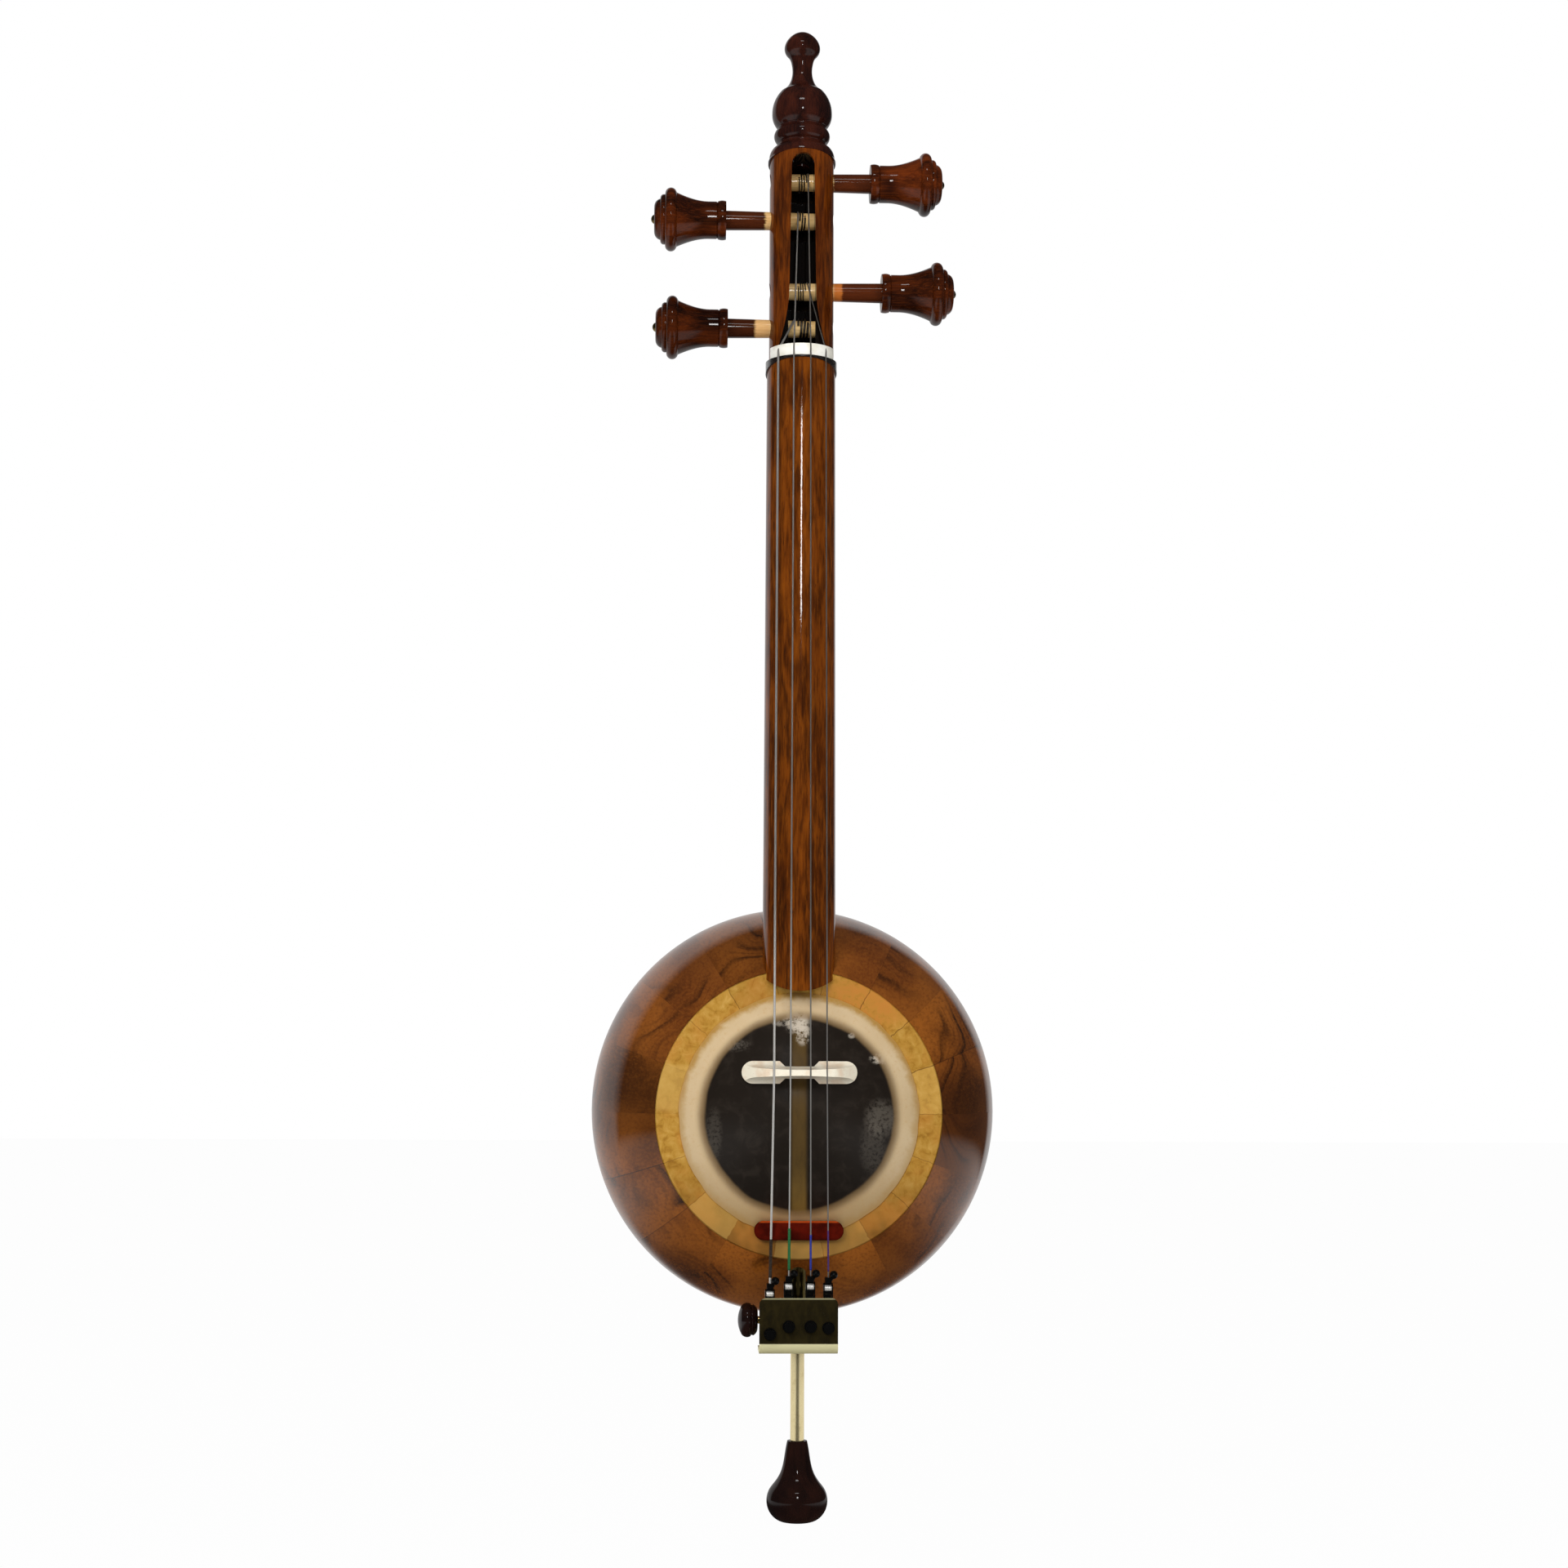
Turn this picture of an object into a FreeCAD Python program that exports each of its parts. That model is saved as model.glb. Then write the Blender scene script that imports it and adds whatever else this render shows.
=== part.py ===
import FreeCAD, Part
import math
import os

# Kamancheh, a bowed spike fiddle. Millimetres, +Z up along the neck, skin side facing -Y.
# The origin is the middle of the small flat under the spike's foot; the neck, the tube
# and the spike share the Z axis.

os.makedirs("parts", exist_ok=True)
V = FreeCAD.Vector

# Fits
running_gap = 0.05
free_gap = 0.3
side_gap = 0.12

# Spike foot and rod
foot_height = 36.7
foot_bulb_radius = 14.1
foot_bulb_height = 10.3
foot_flat_radius = 4.5
foot_neck_radius = 4.6
rod_radius = 3.25
rod_in_foot = 20.0
rod_past_centre = 36.3

# Tube through the bowl
tube_radius = 4.0
tube_wall = 0.7
tube_in_neck = 40.0

# Tail plate, bent from brass sheet, and the block that clamps the spike
plate_width = 36.4
plate_sheet = 1.8
plate_front = -12.0
plate_height = 25.6
plate_drop = 84.4
plate_bend_radius = 4.0
plate_corner = 3.0
flange_back = 9.0
block_width = 18.0
block_front = -4.6
block_height = 18.5
rod_hole_gap = 0.35

# Thumbscrew on the left side of the block
screw_radius = 1.75
screw_rise = 14.5
knob_near = 18.6
knob_length = 9.3
knob_radius = 7.9

# Fine tuners, one for each string, from the left
tuner_x = [-13.3, -4.6, 5.5, 13.7]
tuner_drop = [3.4, 0.0, 0.0, 0.6]
tuner_screw_rise = 12.7
barrel_rise = 5.0
barrel_forward = 8.3
barrel_radius = 1.45
lever_width = 3.0
lever_sheet = 1.4
lever_tab_rise = 5.0
lever_tab_front = -12.4
cheek_sheet = 0.6
tongue_sheet = 0.8
sleeve_radius = 2.2
ring_nut_radius = 2.9
ring_nut_length = 0.9
tuner_thread_radius = 1.25
tuner_head_radius = 2.35
tuner_head_length = 2.8
tuner_grooves = 16
horn_radius = 0.75
horn_ball_radius = 1.9
horn_aside = 2.3
horn_forward = 2.2
horn_rise = 6.4

# Bowl of staves, its mouth and the skin
bowl_radius = 99.0
bowl_wall = 4.0
bowl_height = 187.3
mouth_front = -7.5
mouth_radius = 67.3
stave_count = 18
cap_radius = 12.0
ring_inner_radius = 46.1
ring_thickness = 2.5
ring_bevel = 0.6
rim_thickness = 4.5
skin_radius = 56.2
skin_thickness = 0.5

# Bridge and the pad below it
bridge_rise = 19.3
bridge_width = 54.0
bridge_crown = 16.5
bridge_crown_curve = 40.0
bridge_shoulder = 16.0
bridge_foot_depth = 10.5
bridge_foot_rise = 2.4
bridge_top_depth = 2.6
bridge_arch_width = 13.6
bridge_arch_rise = 6.0
bridge_waist_depth = 5.6
pad_drop = 53.7
pad_width = 41.9
pad_depth = 9.0
pad_thickness = 4.0

# Neck, ferrule, nut and pegbox
neck_end_radius = 17.3
neck_top_radius = 16.5
neck_tip_rise = 57.2
neck_tip_curve = 6.7
sounding_length = 343.3
ferrule_radius = 17.2
ferrule_front = 0.7
ferrule_side = 5.2
ferrule_gap = 0.03
nut_length = 5.5
nut_curve = 16.4
nut_set_back = 2.1
nut_thickness = 3.9
nut_half_width = 15.2
nut_crown = 0.5
pegbox_radius = 15.6
pegbox_height = 99.0
tenon_radius = 7.0
tenon_length = 22.0
slot_top_wall = 2.0
slot_half_top = 5.5
slot_half_low = 6.55
slot_flare_rise = 29.5
slot_flare_half = 11.5
slot_back = 9.0
flare_back = -5.0

# Finial, from its lip on the pegbox up to the knob; heights are above the joint
finial_height = 66.5
finial_tenon_radius = 4.5
joint_slope = 0.2
lip_radius = 16.4
lip_height = 2.4
cove_radius = 11.8
cove_height = 8.8
bead_radius = 13.6
bead_height = 16.9
groove_width = 1.6
ball_radius = 14.6
ball_height = 25.2
ball_shoulder_radius = 10.4
ball_shoulder_height = 36.2
stem_radius = 4.8
stem_height = 46.5
finial_knob_radius = 8.7
finial_knob_height = 58.2

# Pegs, numbered by the string they tune; each sits at its share of the pegbox's height
peg_share = [0.171, 0.712, 0.908, 0.358]
peg_side = [-1, -1, 1, 1]
peg_head_start = [35.7, 36.8, 33.3, 38.8]
peg_radius = 4.1
peg_taper = 1.0 / 60.0
peg_end_inset = 0.8
peg_collar_radius = 9.5
peg_collar_length = 3.9
peg_body_radius = 8.95
peg_straight = 9.0
peg_rim_radius = 15.2
peg_rim_at = 26.8
peg_rim_width = 5.5
peg_head_length = 34.8
button_radius = 2.3
button_length = 1.6

# Strings, from the left
string_radius = [0.55, 0.38, 0.35, 0.32]
string_at_nut = [-11.6, -4.3, 3.7, 11.2]
string_at_bridge = [-12.3, -4.8, 4.5, 12.2]
string_at_tail = -11.0
string_end_rise = 3.6
string_end_gap = 0.25
nut_bend = 4.0
bridge_bend = 20.0
winding_start = [-1.6, -1.0, 2.0, 1.6]
winding_turns = [3, 2, 3, 3]
winding_gap = 0.45
winding_entry = 1.2
standing_gap = 0.15
standing_wrap = 165.0

# Worked out from the sizes above
bowl_back = math.sqrt(bowl_radius ** 2 - mouth_radius ** 2) + mouth_front
skin_front = mouth_front - skin_thickness
ring_back = mouth_front + ring_thickness
plate_top = bowl_height - plate_drop
plate_bottom = plate_top - plate_height
flange_top = plate_bottom + plate_sheet
plate_back = plate_front + plate_sheet
rod_top = bowl_height + rod_past_centre
tube_top = bowl_height + bowl_radius + tube_in_neck
screw_height = plate_bottom + screw_rise
tuner_screw_height = plate_bottom + tuner_screw_rise
barrel_height = plate_top + barrel_rise
lever_tab_top = barrel_height + lever_tab_rise
string_end_height = barrel_height + string_end_rise
bridge_height = bowl_height + bridge_rise
bridge_front = skin_front - bridge_crown
pad_height = bowl_height - pad_drop
neck_tip = bowl_height + neck_tip_rise
neck_corner = neck_tip + neck_tip_curve
nut_middle = bridge_height + sounding_length
neck_top = nut_middle - nut_length / 2
pegbox_floor = neck_top + nut_length
pegbox_top = neck_top + pegbox_height
slot_top = pegbox_top - slot_top_wall
slot_flare_start = neck_top + slot_flare_rise
peg_height = [neck_top + share * pegbox_height for share in peg_share]
barrel_y = -barrel_forward
string_count = len(tuner_x)


# A closed outline of straight lines, arcs and smooth curves, drawn point by point

class Outline:
    def __init__(self, across, along, place):
        self.place = place
        self.first = (across, along)
        self.last = self.first
        self.edges = []

    def line(self, across, along):
        ends = [self.place(*self.last), self.place(across, along)]
        if ends[0].distanceToPoint(ends[1]) > 1e-6:
            self.edges.append(Part.LineSegment(*ends).toShape())
        self.last = (across, along)
        return self

    def arc(self, mid_across, mid_along, across, along):
        points = [self.place(*self.last), self.place(mid_across, mid_along), self.place(across, along)]
        self.edges.append(Part.Arc(*points).toShape())
        self.last = (across, along)
        return self

    def curve(self, points):
        spline = Part.BSplineCurve()
        spline.interpolate([self.place(*self.last)] + [self.place(*point) for point in points])
        self.edges.append(spline.toShape())
        self.last = points[-1]
        return self

    def dome(self, rise):
        radius = self.last[0]
        along = self.last[1]
        sphere = (radius ** 2 + rise ** 2) / (2 * rise)
        half = math.asin(radius / sphere) / 2
        top = along + rise
        return self.arc(sphere * math.sin(half), top - sphere * (1 - math.cos(half)), 0, top)

    def face(self):
        self.line(*self.first)
        return Part.Face(Part.Wire(self.edges))


def in_turning(radius, height):
    return V(radius, 0, height)


def in_front_view(across, height):
    return V(across, 0, height)


def in_side_view(depth, height):
    return V(0, depth, height)


def turned(face):
    return face.revolve(V(0, 0, 0), V(0, 0, 1), 360)


def box(low, high):
    return Part.makeBox(high[0] - low[0], high[1] - low[1], high[2] - low[2], V(*low))


def rod(radius, start, end):
    return Part.makeCylinder(radius, (end - start).Length, start, end - start)


def taper(start_radius, end_radius, start, end):
    return Part.makeCone(start_radius, end_radius, (end - start).Length, start, end - start)


def front_prism(face, near, far):
    moved = face.copy()
    moved.translate(V(0, near, 0))
    return moved.extrude(V(0, far - near, 0))


def side_prism(face, middle, width):
    moved = face.copy()
    moved.translate(V(middle - width / 2, 0, 0))
    return moved.extrude(V(width, 0, 0))


def save(name, solids):
    pieces = solids if isinstance(solids, list) else [solids]
    made = []
    for piece in pieces:
        made.extend(piece.Solids)
    shape = made[0] if len(made) == 1 else Part.makeCompound(made)
    shape.exportStep("parts/" + name + ".step")
    print(name, len(made), "solids", round(shape.Volume, 1), "mm3", shape.isValid())


# Tubes along a path of straight runs and tangent arcs

def corner_arc(before, corner, after, radius):
    back = (before - corner).normalize()
    ahead = (after - corner).normalize()
    half = back.getAngle(ahead) / 2
    reach = radius / math.tan(half)
    start = corner + back * reach
    end = corner + ahead * reach
    inward = (back + ahead).normalize()
    middle = corner + inward * (radius / math.sin(half) - radius)
    return start, middle, end


def run_and_arc_edges(points, radii):
    edges = []
    last = points[0]
    for index in range(1, len(points) - 1):
        before, corner, after = points[index - 1:index + 2]
        start, middle, end = corner_arc(before, corner, after, radii[index - 1])
        edges.append(Part.LineSegment(last, start).toShape())
        edges.append(Part.Arc(start, middle, end).toShape())
        last = end
    edges.append(Part.LineSegment(last, points[-1]).toShape())
    return edges


def tangent_arc(start, control, end):
    reach = (control - start).Length
    weight = min(1.0, (end - start).Length / 2 / reach)
    middle = (start + control * (2 * weight) + end) * (1 / (2 + 2 * weight))
    return Part.Arc(start, middle, end).toShape()


def biarc(start, start_way, end, end_way):
    span = end - start
    ways = start_way + end_way
    turn = 2 * (1 - start_way.dot(end_way))
    along = span.dot(ways)
    reach = (math.sqrt(along ** 2 + turn * span.dot(span)) - along) / turn
    first = start + start_way * reach
    second = end - end_way * reach
    middle = (first + second) * 0.5
    return [tangent_arc(start, first, middle), tangent_arc(middle, second, end)]


def tube_along(edges, radius, start, way):
    ring = Part.Wire(Part.makeCircle(radius, start, way))
    return Part.Wire(edges).makePipeShell([ring], True, False)


# Spike

def spike_foot():
    outline = Outline(0, 0, in_turning).line(foot_flat_radius, 0)
    low = foot_bulb_height
    high = foot_height - foot_bulb_height
    swell = foot_bulb_radius - foot_neck_radius
    outline.curve([(foot_bulb_radius * 0.78, low * 0.21),
                   (foot_bulb_radius * 0.965, low * 0.6),
                   (foot_bulb_radius, low),
                   (foot_neck_radius + swell * 0.87, low + high * 0.16),
                   (foot_neck_radius + swell * 0.62, low + high * 0.28),
                   (foot_neck_radius + swell * 0.33, low + high * 0.45),
                   (foot_neck_radius + swell * 0.165, low + high * 0.67),
                   (foot_neck_radius, low + high)])
    outline.line(0, foot_height)
    socket = rod(rod_radius, V(0, 0, foot_height - rod_in_foot), V(0, 0, foot_height + 1))
    return turned(outline.face()).cut(socket)


def spike_rod():
    body = rod(rod_radius, V(0, 0, foot_height - rod_in_foot), V(0, 0, rod_top))
    return body.makeChamfer(0.6, [edge for edge in body.Edges if edge.BoundBox.ZMin > rod_top - 0.01])


# Bowl

def bowl_depth(sphere_radius, radius):
    return bowl_back - math.sqrt(sphere_radius ** 2 - radius ** 2)


def bowl_rear(sphere_radius, radius):
    return bowl_back + math.sqrt(sphere_radius ** 2 - radius ** 2)


def bowl_side_view(radius, depth):
    return V(0, depth, bowl_height + radius)


def around_bowl(face, start_angle, angle):
    turned_face = face.copy()
    turned_face.rotate(V(0, 0, bowl_height), V(0, 1, 0), start_angle)
    return turned_face.revolve(V(0, 0, bowl_height), V(0, 1, 0), angle)


def inner_space(radius):
    return rod(radius, V(0, 0, plate_bottom), V(0, 0, tube_top))


def bowl_staves():
    inner = bowl_radius - bowl_wall
    outline = Outline(mouth_radius, mouth_front, bowl_side_view)
    outline.arc(bowl_radius, bowl_back, cap_radius, bowl_rear(bowl_radius, cap_radius))
    outline.line(cap_radius, bowl_rear(inner, cap_radius))
    outline.arc(inner, bowl_back, mouth_radius, bowl_depth(inner, mouth_radius))
    face = outline.face()
    step = 360.0 / stave_count
    staves = []
    for index in range(stave_count):
        stave = around_bowl(face, (index - 0.5) * step, step)
        if index in (0, stave_count // 2):
            stave = stave.cut(inner_space(tube_radius))
        staves.append(stave)
    return staves


def back_cap():
    inner = bowl_radius - bowl_wall
    outline = Outline(0, bowl_back + bowl_radius, bowl_side_view)
    half = cap_radius / 2
    outline.arc(half, bowl_rear(bowl_radius, half), cap_radius, bowl_rear(bowl_radius, cap_radius))
    outline.line(cap_radius, bowl_rear(inner, cap_radius))
    outline.arc(half, bowl_rear(inner, half), 0, bowl_back + inner)
    return around_bowl(outline.face(), 0, 360)


def mouth_ring():
    outline = Outline(ring_inner_radius, mouth_front, bowl_side_view)
    outline.line(mouth_radius - ring_bevel, mouth_front)
    outline.line(mouth_radius, mouth_front + ring_bevel)
    outline.line(mouth_radius, ring_back)
    outline.line(ring_inner_radius, ring_back)
    face = outline.face()
    step = 360.0 / stave_count
    return [around_bowl(face, (index - 0.5) * step, step) for index in range(stave_count)]


def bowl_disc(radius, front, back):
    return rod(radius, V(0, front, bowl_height), V(0, back, bowl_height))


def mouth_rim():
    rim = bowl_disc(mouth_radius, ring_back, ring_back + rim_thickness)
    opening = bowl_disc(ring_inner_radius, ring_back - 1, ring_back + rim_thickness + 1)
    return rim.cut(opening).cut(inner_space(tube_radius))


def skin():
    return bowl_disc(skin_radius, skin_front, mouth_front)


# Neck and tube

def neck_body(gap):
    return taper(neck_end_radius + gap, neck_top_radius + gap, V(0, 0, neck_tip), V(0, 0, neck_top))


def neck():
    ball = Part.makeSphere(bowl_radius, V(0, bowl_back, bowl_height))
    reach = 2 * bowl_radius
    front_half = box((-reach, mouth_front - reach, neck_tip - reach), (reach, mouth_front, neck_tip + reach))
    below = Outline(-neck_end_radius, neck_corner, in_front_view)
    below.arc(0, neck_tip, neck_end_radius, neck_corner)
    below.line(neck_end_radius + 1, neck_corner)
    below.line(neck_end_radius + 1, neck_tip - 1)
    below.line(-neck_end_radius - 1, neck_tip - 1)
    below.line(-neck_end_radius - 1, neck_corner)
    body = neck_body(0).cut(ball.cut(front_half))
    body = body.cut(front_prism(below.face(), -2 * neck_end_radius, mouth_front))
    body = body.cut(inner_space(tube_radius))
    return body.cut(rod(tenon_radius, V(0, 0, neck_top - tenon_length), V(0, 0, neck_top + 1)))


def inner_tube():
    body = rod(tube_radius, V(0, 0, flange_top), V(0, 0, tube_top))
    bore = rod(tube_radius - tube_wall, V(0, 0, flange_top - 1), V(0, 0, tube_top + 1))
    side_hole = rod(screw_radius + running_gap, V(-2 * tube_radius, 0, screw_height), V(0, 0, screw_height))
    return body.cut(bore).cut(side_hole)


def nut_ferrule():
    low = neck_top - 3 * ferrule_side
    ring = rod(ferrule_radius, V(0, 0, low), V(0, 0, neck_top)).cut(neck_body(ferrule_gap))
    ring = ring.cut(rod(tenon_radius, V(0, 0, low), V(0, 0, neck_top)))
    slope = (ferrule_side - ferrule_front) / ferrule_radius
    below = Outline(-2 * ferrule_radius, neck_top - ferrule_side + slope * 2 * ferrule_radius, in_side_view)
    below.line(2 * ferrule_radius, neck_top - ferrule_side - slope * 2 * ferrule_radius)
    below.line(2 * ferrule_radius, low - 2 * ferrule_side)
    below.line(-2 * ferrule_radius, low - 2 * ferrule_side)
    return ring.cut(side_prism(below.face(), 0, 4 * ferrule_radius))


# Nut, pegbox and finial

def nut_blank():
    outline = Outline(nut_curve - nut_thickness, neck_top, in_turning)
    outline.line(nut_curve - nut_crown, neck_top)
    outline.arc(nut_curve, nut_middle, nut_curve - nut_crown, pegbox_floor)
    outline.line(nut_curve - nut_thickness, pegbox_floor)
    blank = turned(outline.face())
    blank.translate(V(0, -nut_set_back, 0))
    low = (-nut_half_width, -2 * nut_curve, neck_top - 1)
    high = (nut_half_width, -nut_set_back, pegbox_floor + 1)
    return blank.common(box(low, high))


def nut():
    body = nut_blank()
    for index in range(string_count):
        body = body.cut(string_tube(index, running_gap))
    return body


def slot_outline(half_low, flared):
    shoulder = slot_top - slot_half_top
    outline = Outline(-slot_half_top, shoulder, in_front_view)
    outline.arc(0, slot_top, slot_half_top, shoulder)
    outline.line(half_low, slot_flare_start)
    if flared:
        middle = (slot_flare_start + pegbox_floor) / 2
        swing = half_low + (slot_flare_half - half_low) * 0.36
        outline.arc(swing, middle, slot_flare_half, pegbox_floor)
        outline.line(-slot_flare_half, pegbox_floor)
        outline.arc(-swing, middle, -half_low, slot_flare_start)
    else:
        outline.line(half_low, pegbox_floor)
        outline.line(-half_low, pegbox_floor)
        outline.line(-half_low, slot_flare_start)
    return outline.face()


def slot_roof():
    # towards the front, the slot's arched end rises with the joint above it
    shoulder = slot_top - slot_half_top
    outline = Outline(-slot_half_top, shoulder - slot_half_top, in_front_view)
    outline.line(-slot_half_top, shoulder)
    outline.arc(0, slot_top, slot_half_top, shoulder)
    outline.line(slot_half_top, shoulder - slot_half_top)
    reach = 2 * pegbox_radius
    return outline.face().extrude(V(0, -reach, joint_slope * reach))


def joint_side(far):
    # everything above (far positive) or below the slanting joint between pegbox and finial
    reach = 2 * finial_height
    joint = Outline(-reach, pegbox_top + joint_slope * reach, in_side_view)
    joint.line(reach, pegbox_top - joint_slope * reach)
    joint.line(reach, pegbox_top + far).line(-reach, pegbox_top + far)
    return side_prism(joint.face(), 0, reach)


def pegbox():
    body = rod(pegbox_radius, V(0, 0, neck_top), V(0, 0, pegbox_top + joint_slope * 2 * pegbox_radius))
    body = body.cut(joint_side(finial_height))
    body = body.fuse(rod(tenon_radius, V(0, 0, neck_top - tenon_length), V(0, 0, neck_top + 1)))
    body = body.cut(front_prism(slot_outline(slot_half_low, False), -2 * pegbox_radius, slot_back))
    body = body.cut(front_prism(slot_outline(slot_half_low, True), -2 * pegbox_radius, flare_back))
    body = body.cut(slot_roof())
    body = body.cut(nut_blank())
    body = body.cut(rod(finial_tenon_radius, V(0, 0, slot_top - slot_half_top), V(0, 0, pegbox_top + 1)))
    for index in range(string_count):
        body = body.cut(on_peg_axis(peg_cone(running_gap), index))
    return body.removeSplitter()


def groove(outline, radius, height):
    # a small round groove whose upper edge ends at radius and height
    half = groove_width / 2
    outline.arc(radius - half * 0.6, height - half, radius, height)


def finial():
    base = pegbox_top - joint_slope * 2 * lip_radius
    lip = pegbox_top + lip_height
    cove = pegbox_top + cove_height
    bead = pegbox_top + bead_height
    ball = pegbox_top + ball_height
    shoulder = pegbox_top + ball_shoulder_height
    stem = pegbox_top + stem_height
    knob = pegbox_top + finial_knob_height
    top = pegbox_top + finial_height
    groove_top = bead + groove_width
    bead_low = cove + groove_width
    bead_edge = bead_radius - 1.4
    outline = Outline(0, base, in_turning)
    outline.line(lip_radius, base)
    outline.line(lip_radius, lip - 1.2)
    outline.line(lip_radius - 0.5, lip)
    outline.arc(lip_radius - 1.7, (lip + cove) / 2 + 0.8, cove_radius, cove)
    groove(outline, cove_radius, bead_low)
    outline.arc(bead_radius, (bead_low + bead) / 2, bead_edge, bead)
    groove(outline, bead_edge, groove_top)
    outline.arc(ball_radius - 0.6, (groove_top + ball) / 2 - 0.4, ball_radius, ball)
    outline.arc(ball_radius - 1.15, (ball + shoulder) / 2 + 0.7, ball_shoulder_radius, shoulder)
    outline.curve([(stem_radius + 1.3, shoulder + 4.6),
                   (stem_radius, stem),
                   (stem_radius + 0.5, stem + 4.4),
                   (finial_knob_radius - 2.5, knob - 4.8),
                   (finial_knob_radius - 0.6, knob - 2.4),
                   (finial_knob_radius, knob),
                   (finial_knob_radius - 1.8, knob + 4.6),
                   (finial_knob_radius - 5.4, top - 0.8)])
    outline.dome(0.8)
    body = turned(outline.face()).cut(joint_side(-finial_height))
    return body.fuse(rod(finial_tenon_radius, V(0, 0, pegbox_top - slot_top_wall), V(0, 0, pegbox_top + 1)))


# Pegs, turned along their own axis and laid across the pegbox

def peg_radius_at(along):
    return peg_radius + peg_taper * along


def peg_cone(gap):
    start = -2 * pegbox_radius
    end = 2 * pegbox_radius
    return taper(peg_radius_at(start) + gap, peg_radius_at(end) + gap, V(0, 0, start), V(0, 0, end))


def on_peg_axis(shape, index):
    laid = shape.copy()
    laid.rotate(V(0, 0, 0), V(0, 1, 0), 90 * peg_side[index])
    laid.translate(V(0, 0, peg_height[index]))
    return laid


def peg_turning(index):
    collar = peg_head_start[index]
    tail = peg_end_inset - pegbox_radius
    bead = collar + peg_rim_at
    half = peg_rim_width / 2
    end = collar + peg_head_length
    body = peg_body_radius
    rim = peg_rim_radius
    outline = Outline(0, tail, in_turning)
    outline.line(peg_radius_at(tail), tail)
    outline.line(peg_radius_at(collar), collar)
    outline.line(peg_collar_radius - 0.3, collar)
    collar_end = collar + peg_collar_length
    outline.arc(peg_collar_radius, (collar + collar_end) / 2, peg_collar_radius - 0.4, collar_end)
    outline.line(body - 0.4, collar_end + 0.3)
    outline.line(body, collar + peg_collar_length + 0.8)
    outline.line(body, collar + peg_straight)
    outline.curve([(body + 0.4, collar + peg_straight + 4.0),
                   (body + 1.5, collar + peg_straight + 8.5),
                   (rim - 2.3, bead - half - 0.2)])
    outline.line(rim - 2.0, bead - half)
    outline.arc(rim, bead, rim - 2.6, bead + half)
    outline.line(rim - 3.3, bead + half + 0.1)
    outline.arc(rim - 3.4, bead + half + 1.4, rim - 4.6, bead + half + 2.3)
    outline.line(rim - 5.4, bead + half + 2.4)
    outline.arc(rim - 6.4, bead + half + 4.2, rim - 9.6, end)
    outline.line(0, end)
    return turned(outline.face())


def peg(index):
    body = on_peg_axis(peg_turning(index), index)
    return body.cut(winding_end_tube(index, 0.08)).cut(string_hole(index))


def peg_button(index):
    base = peg_head_start[index] + peg_head_length
    outline = Outline(0, base, in_turning).line(button_radius, base).dome(button_length)
    return on_peg_axis(turned(outline.face()), index)


# Windings: each string's turns on its peg, as one tube

def winding_radius(index):
    widest = abs(winding_start[index]) + 1.0
    return peg_radius_at(widest) + string_radius[index] + running_gap


def winding_pitch(index):
    way = -1 if winding_start[index] > 0 else 1
    return way * (2 * string_radius[index] + winding_gap)


def round_peg(index, angle, along):
    radius = winding_radius(index)
    return V(along, -radius * math.cos(angle), peg_height[index] + radius * math.sin(angle))


def winding_way(index, angle):
    radius = winding_radius(index)
    along = winding_pitch(index) / (2 * math.pi)
    return V(along, radius * math.sin(angle), radius * math.cos(angle)).normalize()


def nut_point(index):
    across = string_at_nut[index]
    return V(across, -nut_set_back - math.sqrt(nut_curve ** 2 - across ** 2), nut_middle)


def touch_angle(index):
    nut_spot = nut_point(index)
    forward = -nut_spot.y
    below = peg_height[index] - nut_spot.z
    return math.acos(winding_radius(index) / math.hypot(forward, below)) - math.atan2(below, forward)


def winding_edges(index):
    angle = touch_angle(index)
    along = winding_start[index]
    start = round_peg(index, angle, along)
    way = winding_way(index, angle)
    lead = start - way * (2 * string_radius[index])
    edges = [Part.LineSegment(lead, start).toShape()]
    for quarter in range(4 * winding_turns[index]):
        next_angle = angle + math.pi / 2
        next_along = along + winding_pitch(index) / 4
        end = round_peg(index, next_angle, next_along)
        edges.extend(biarc(start, way, end, winding_way(index, next_angle)))
        start = end
        angle = next_angle
        along = next_along
        way = winding_way(index, angle)
    return lead, edges, start, way, angle


def winding_end(index):
    lead, edges, start, way, angle = winding_edges(index)
    radius = string_radius[index]
    bend = winding_entry * 2 * radius
    out = V(0, -math.cos(angle), math.sin(angle))
    inward = (out * -1 - way * (out * -1).dot(way)).normalize()
    turn_end = start + way * bend + inward * bend
    tip = turn_end + inward * (2 * radius)
    return start, way, inward, turn_end, tip


def winding_end_edges(index):
    start, way, inward, turn_end, tip = winding_end(index)
    bend = winding_entry * 2 * string_radius[index]
    return [tangent_arc(start, start + way * bend, turn_end), Part.LineSegment(turn_end, tip).toShape()]


def winding_end_tube(index, gap):
    start, way, inward, turn_end, tip = winding_end(index)
    return tube_along(winding_end_edges(index), string_radius[index] + gap, start, way)


def string_hole(index):
    start, way, inward, turn_end, tip = winding_end(index)
    reach = inward * (4 * peg_radius)
    return rod(string_radius[index] + 0.15, turn_end, turn_end + reach)


def least_gap(edges, radius):
    points = []
    travelled = 0.0
    for edge in edges:
        steps = 6
        for step in range(steps):
            share = edge.FirstParameter + (edge.LastParameter - edge.FirstParameter) * step / steps
            points.append((edge.valueAt(share), travelled + edge.Length * step / steps))
        travelled += edge.Length
    skip = 8 * radius
    least = 1e9
    for number, (point, place) in enumerate(points):
        for other, other_place in points[number + 1:]:
            if other_place - place > skip:
                least = min(least, point.distanceToPoint(other))
    return least - 2 * radius


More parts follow.
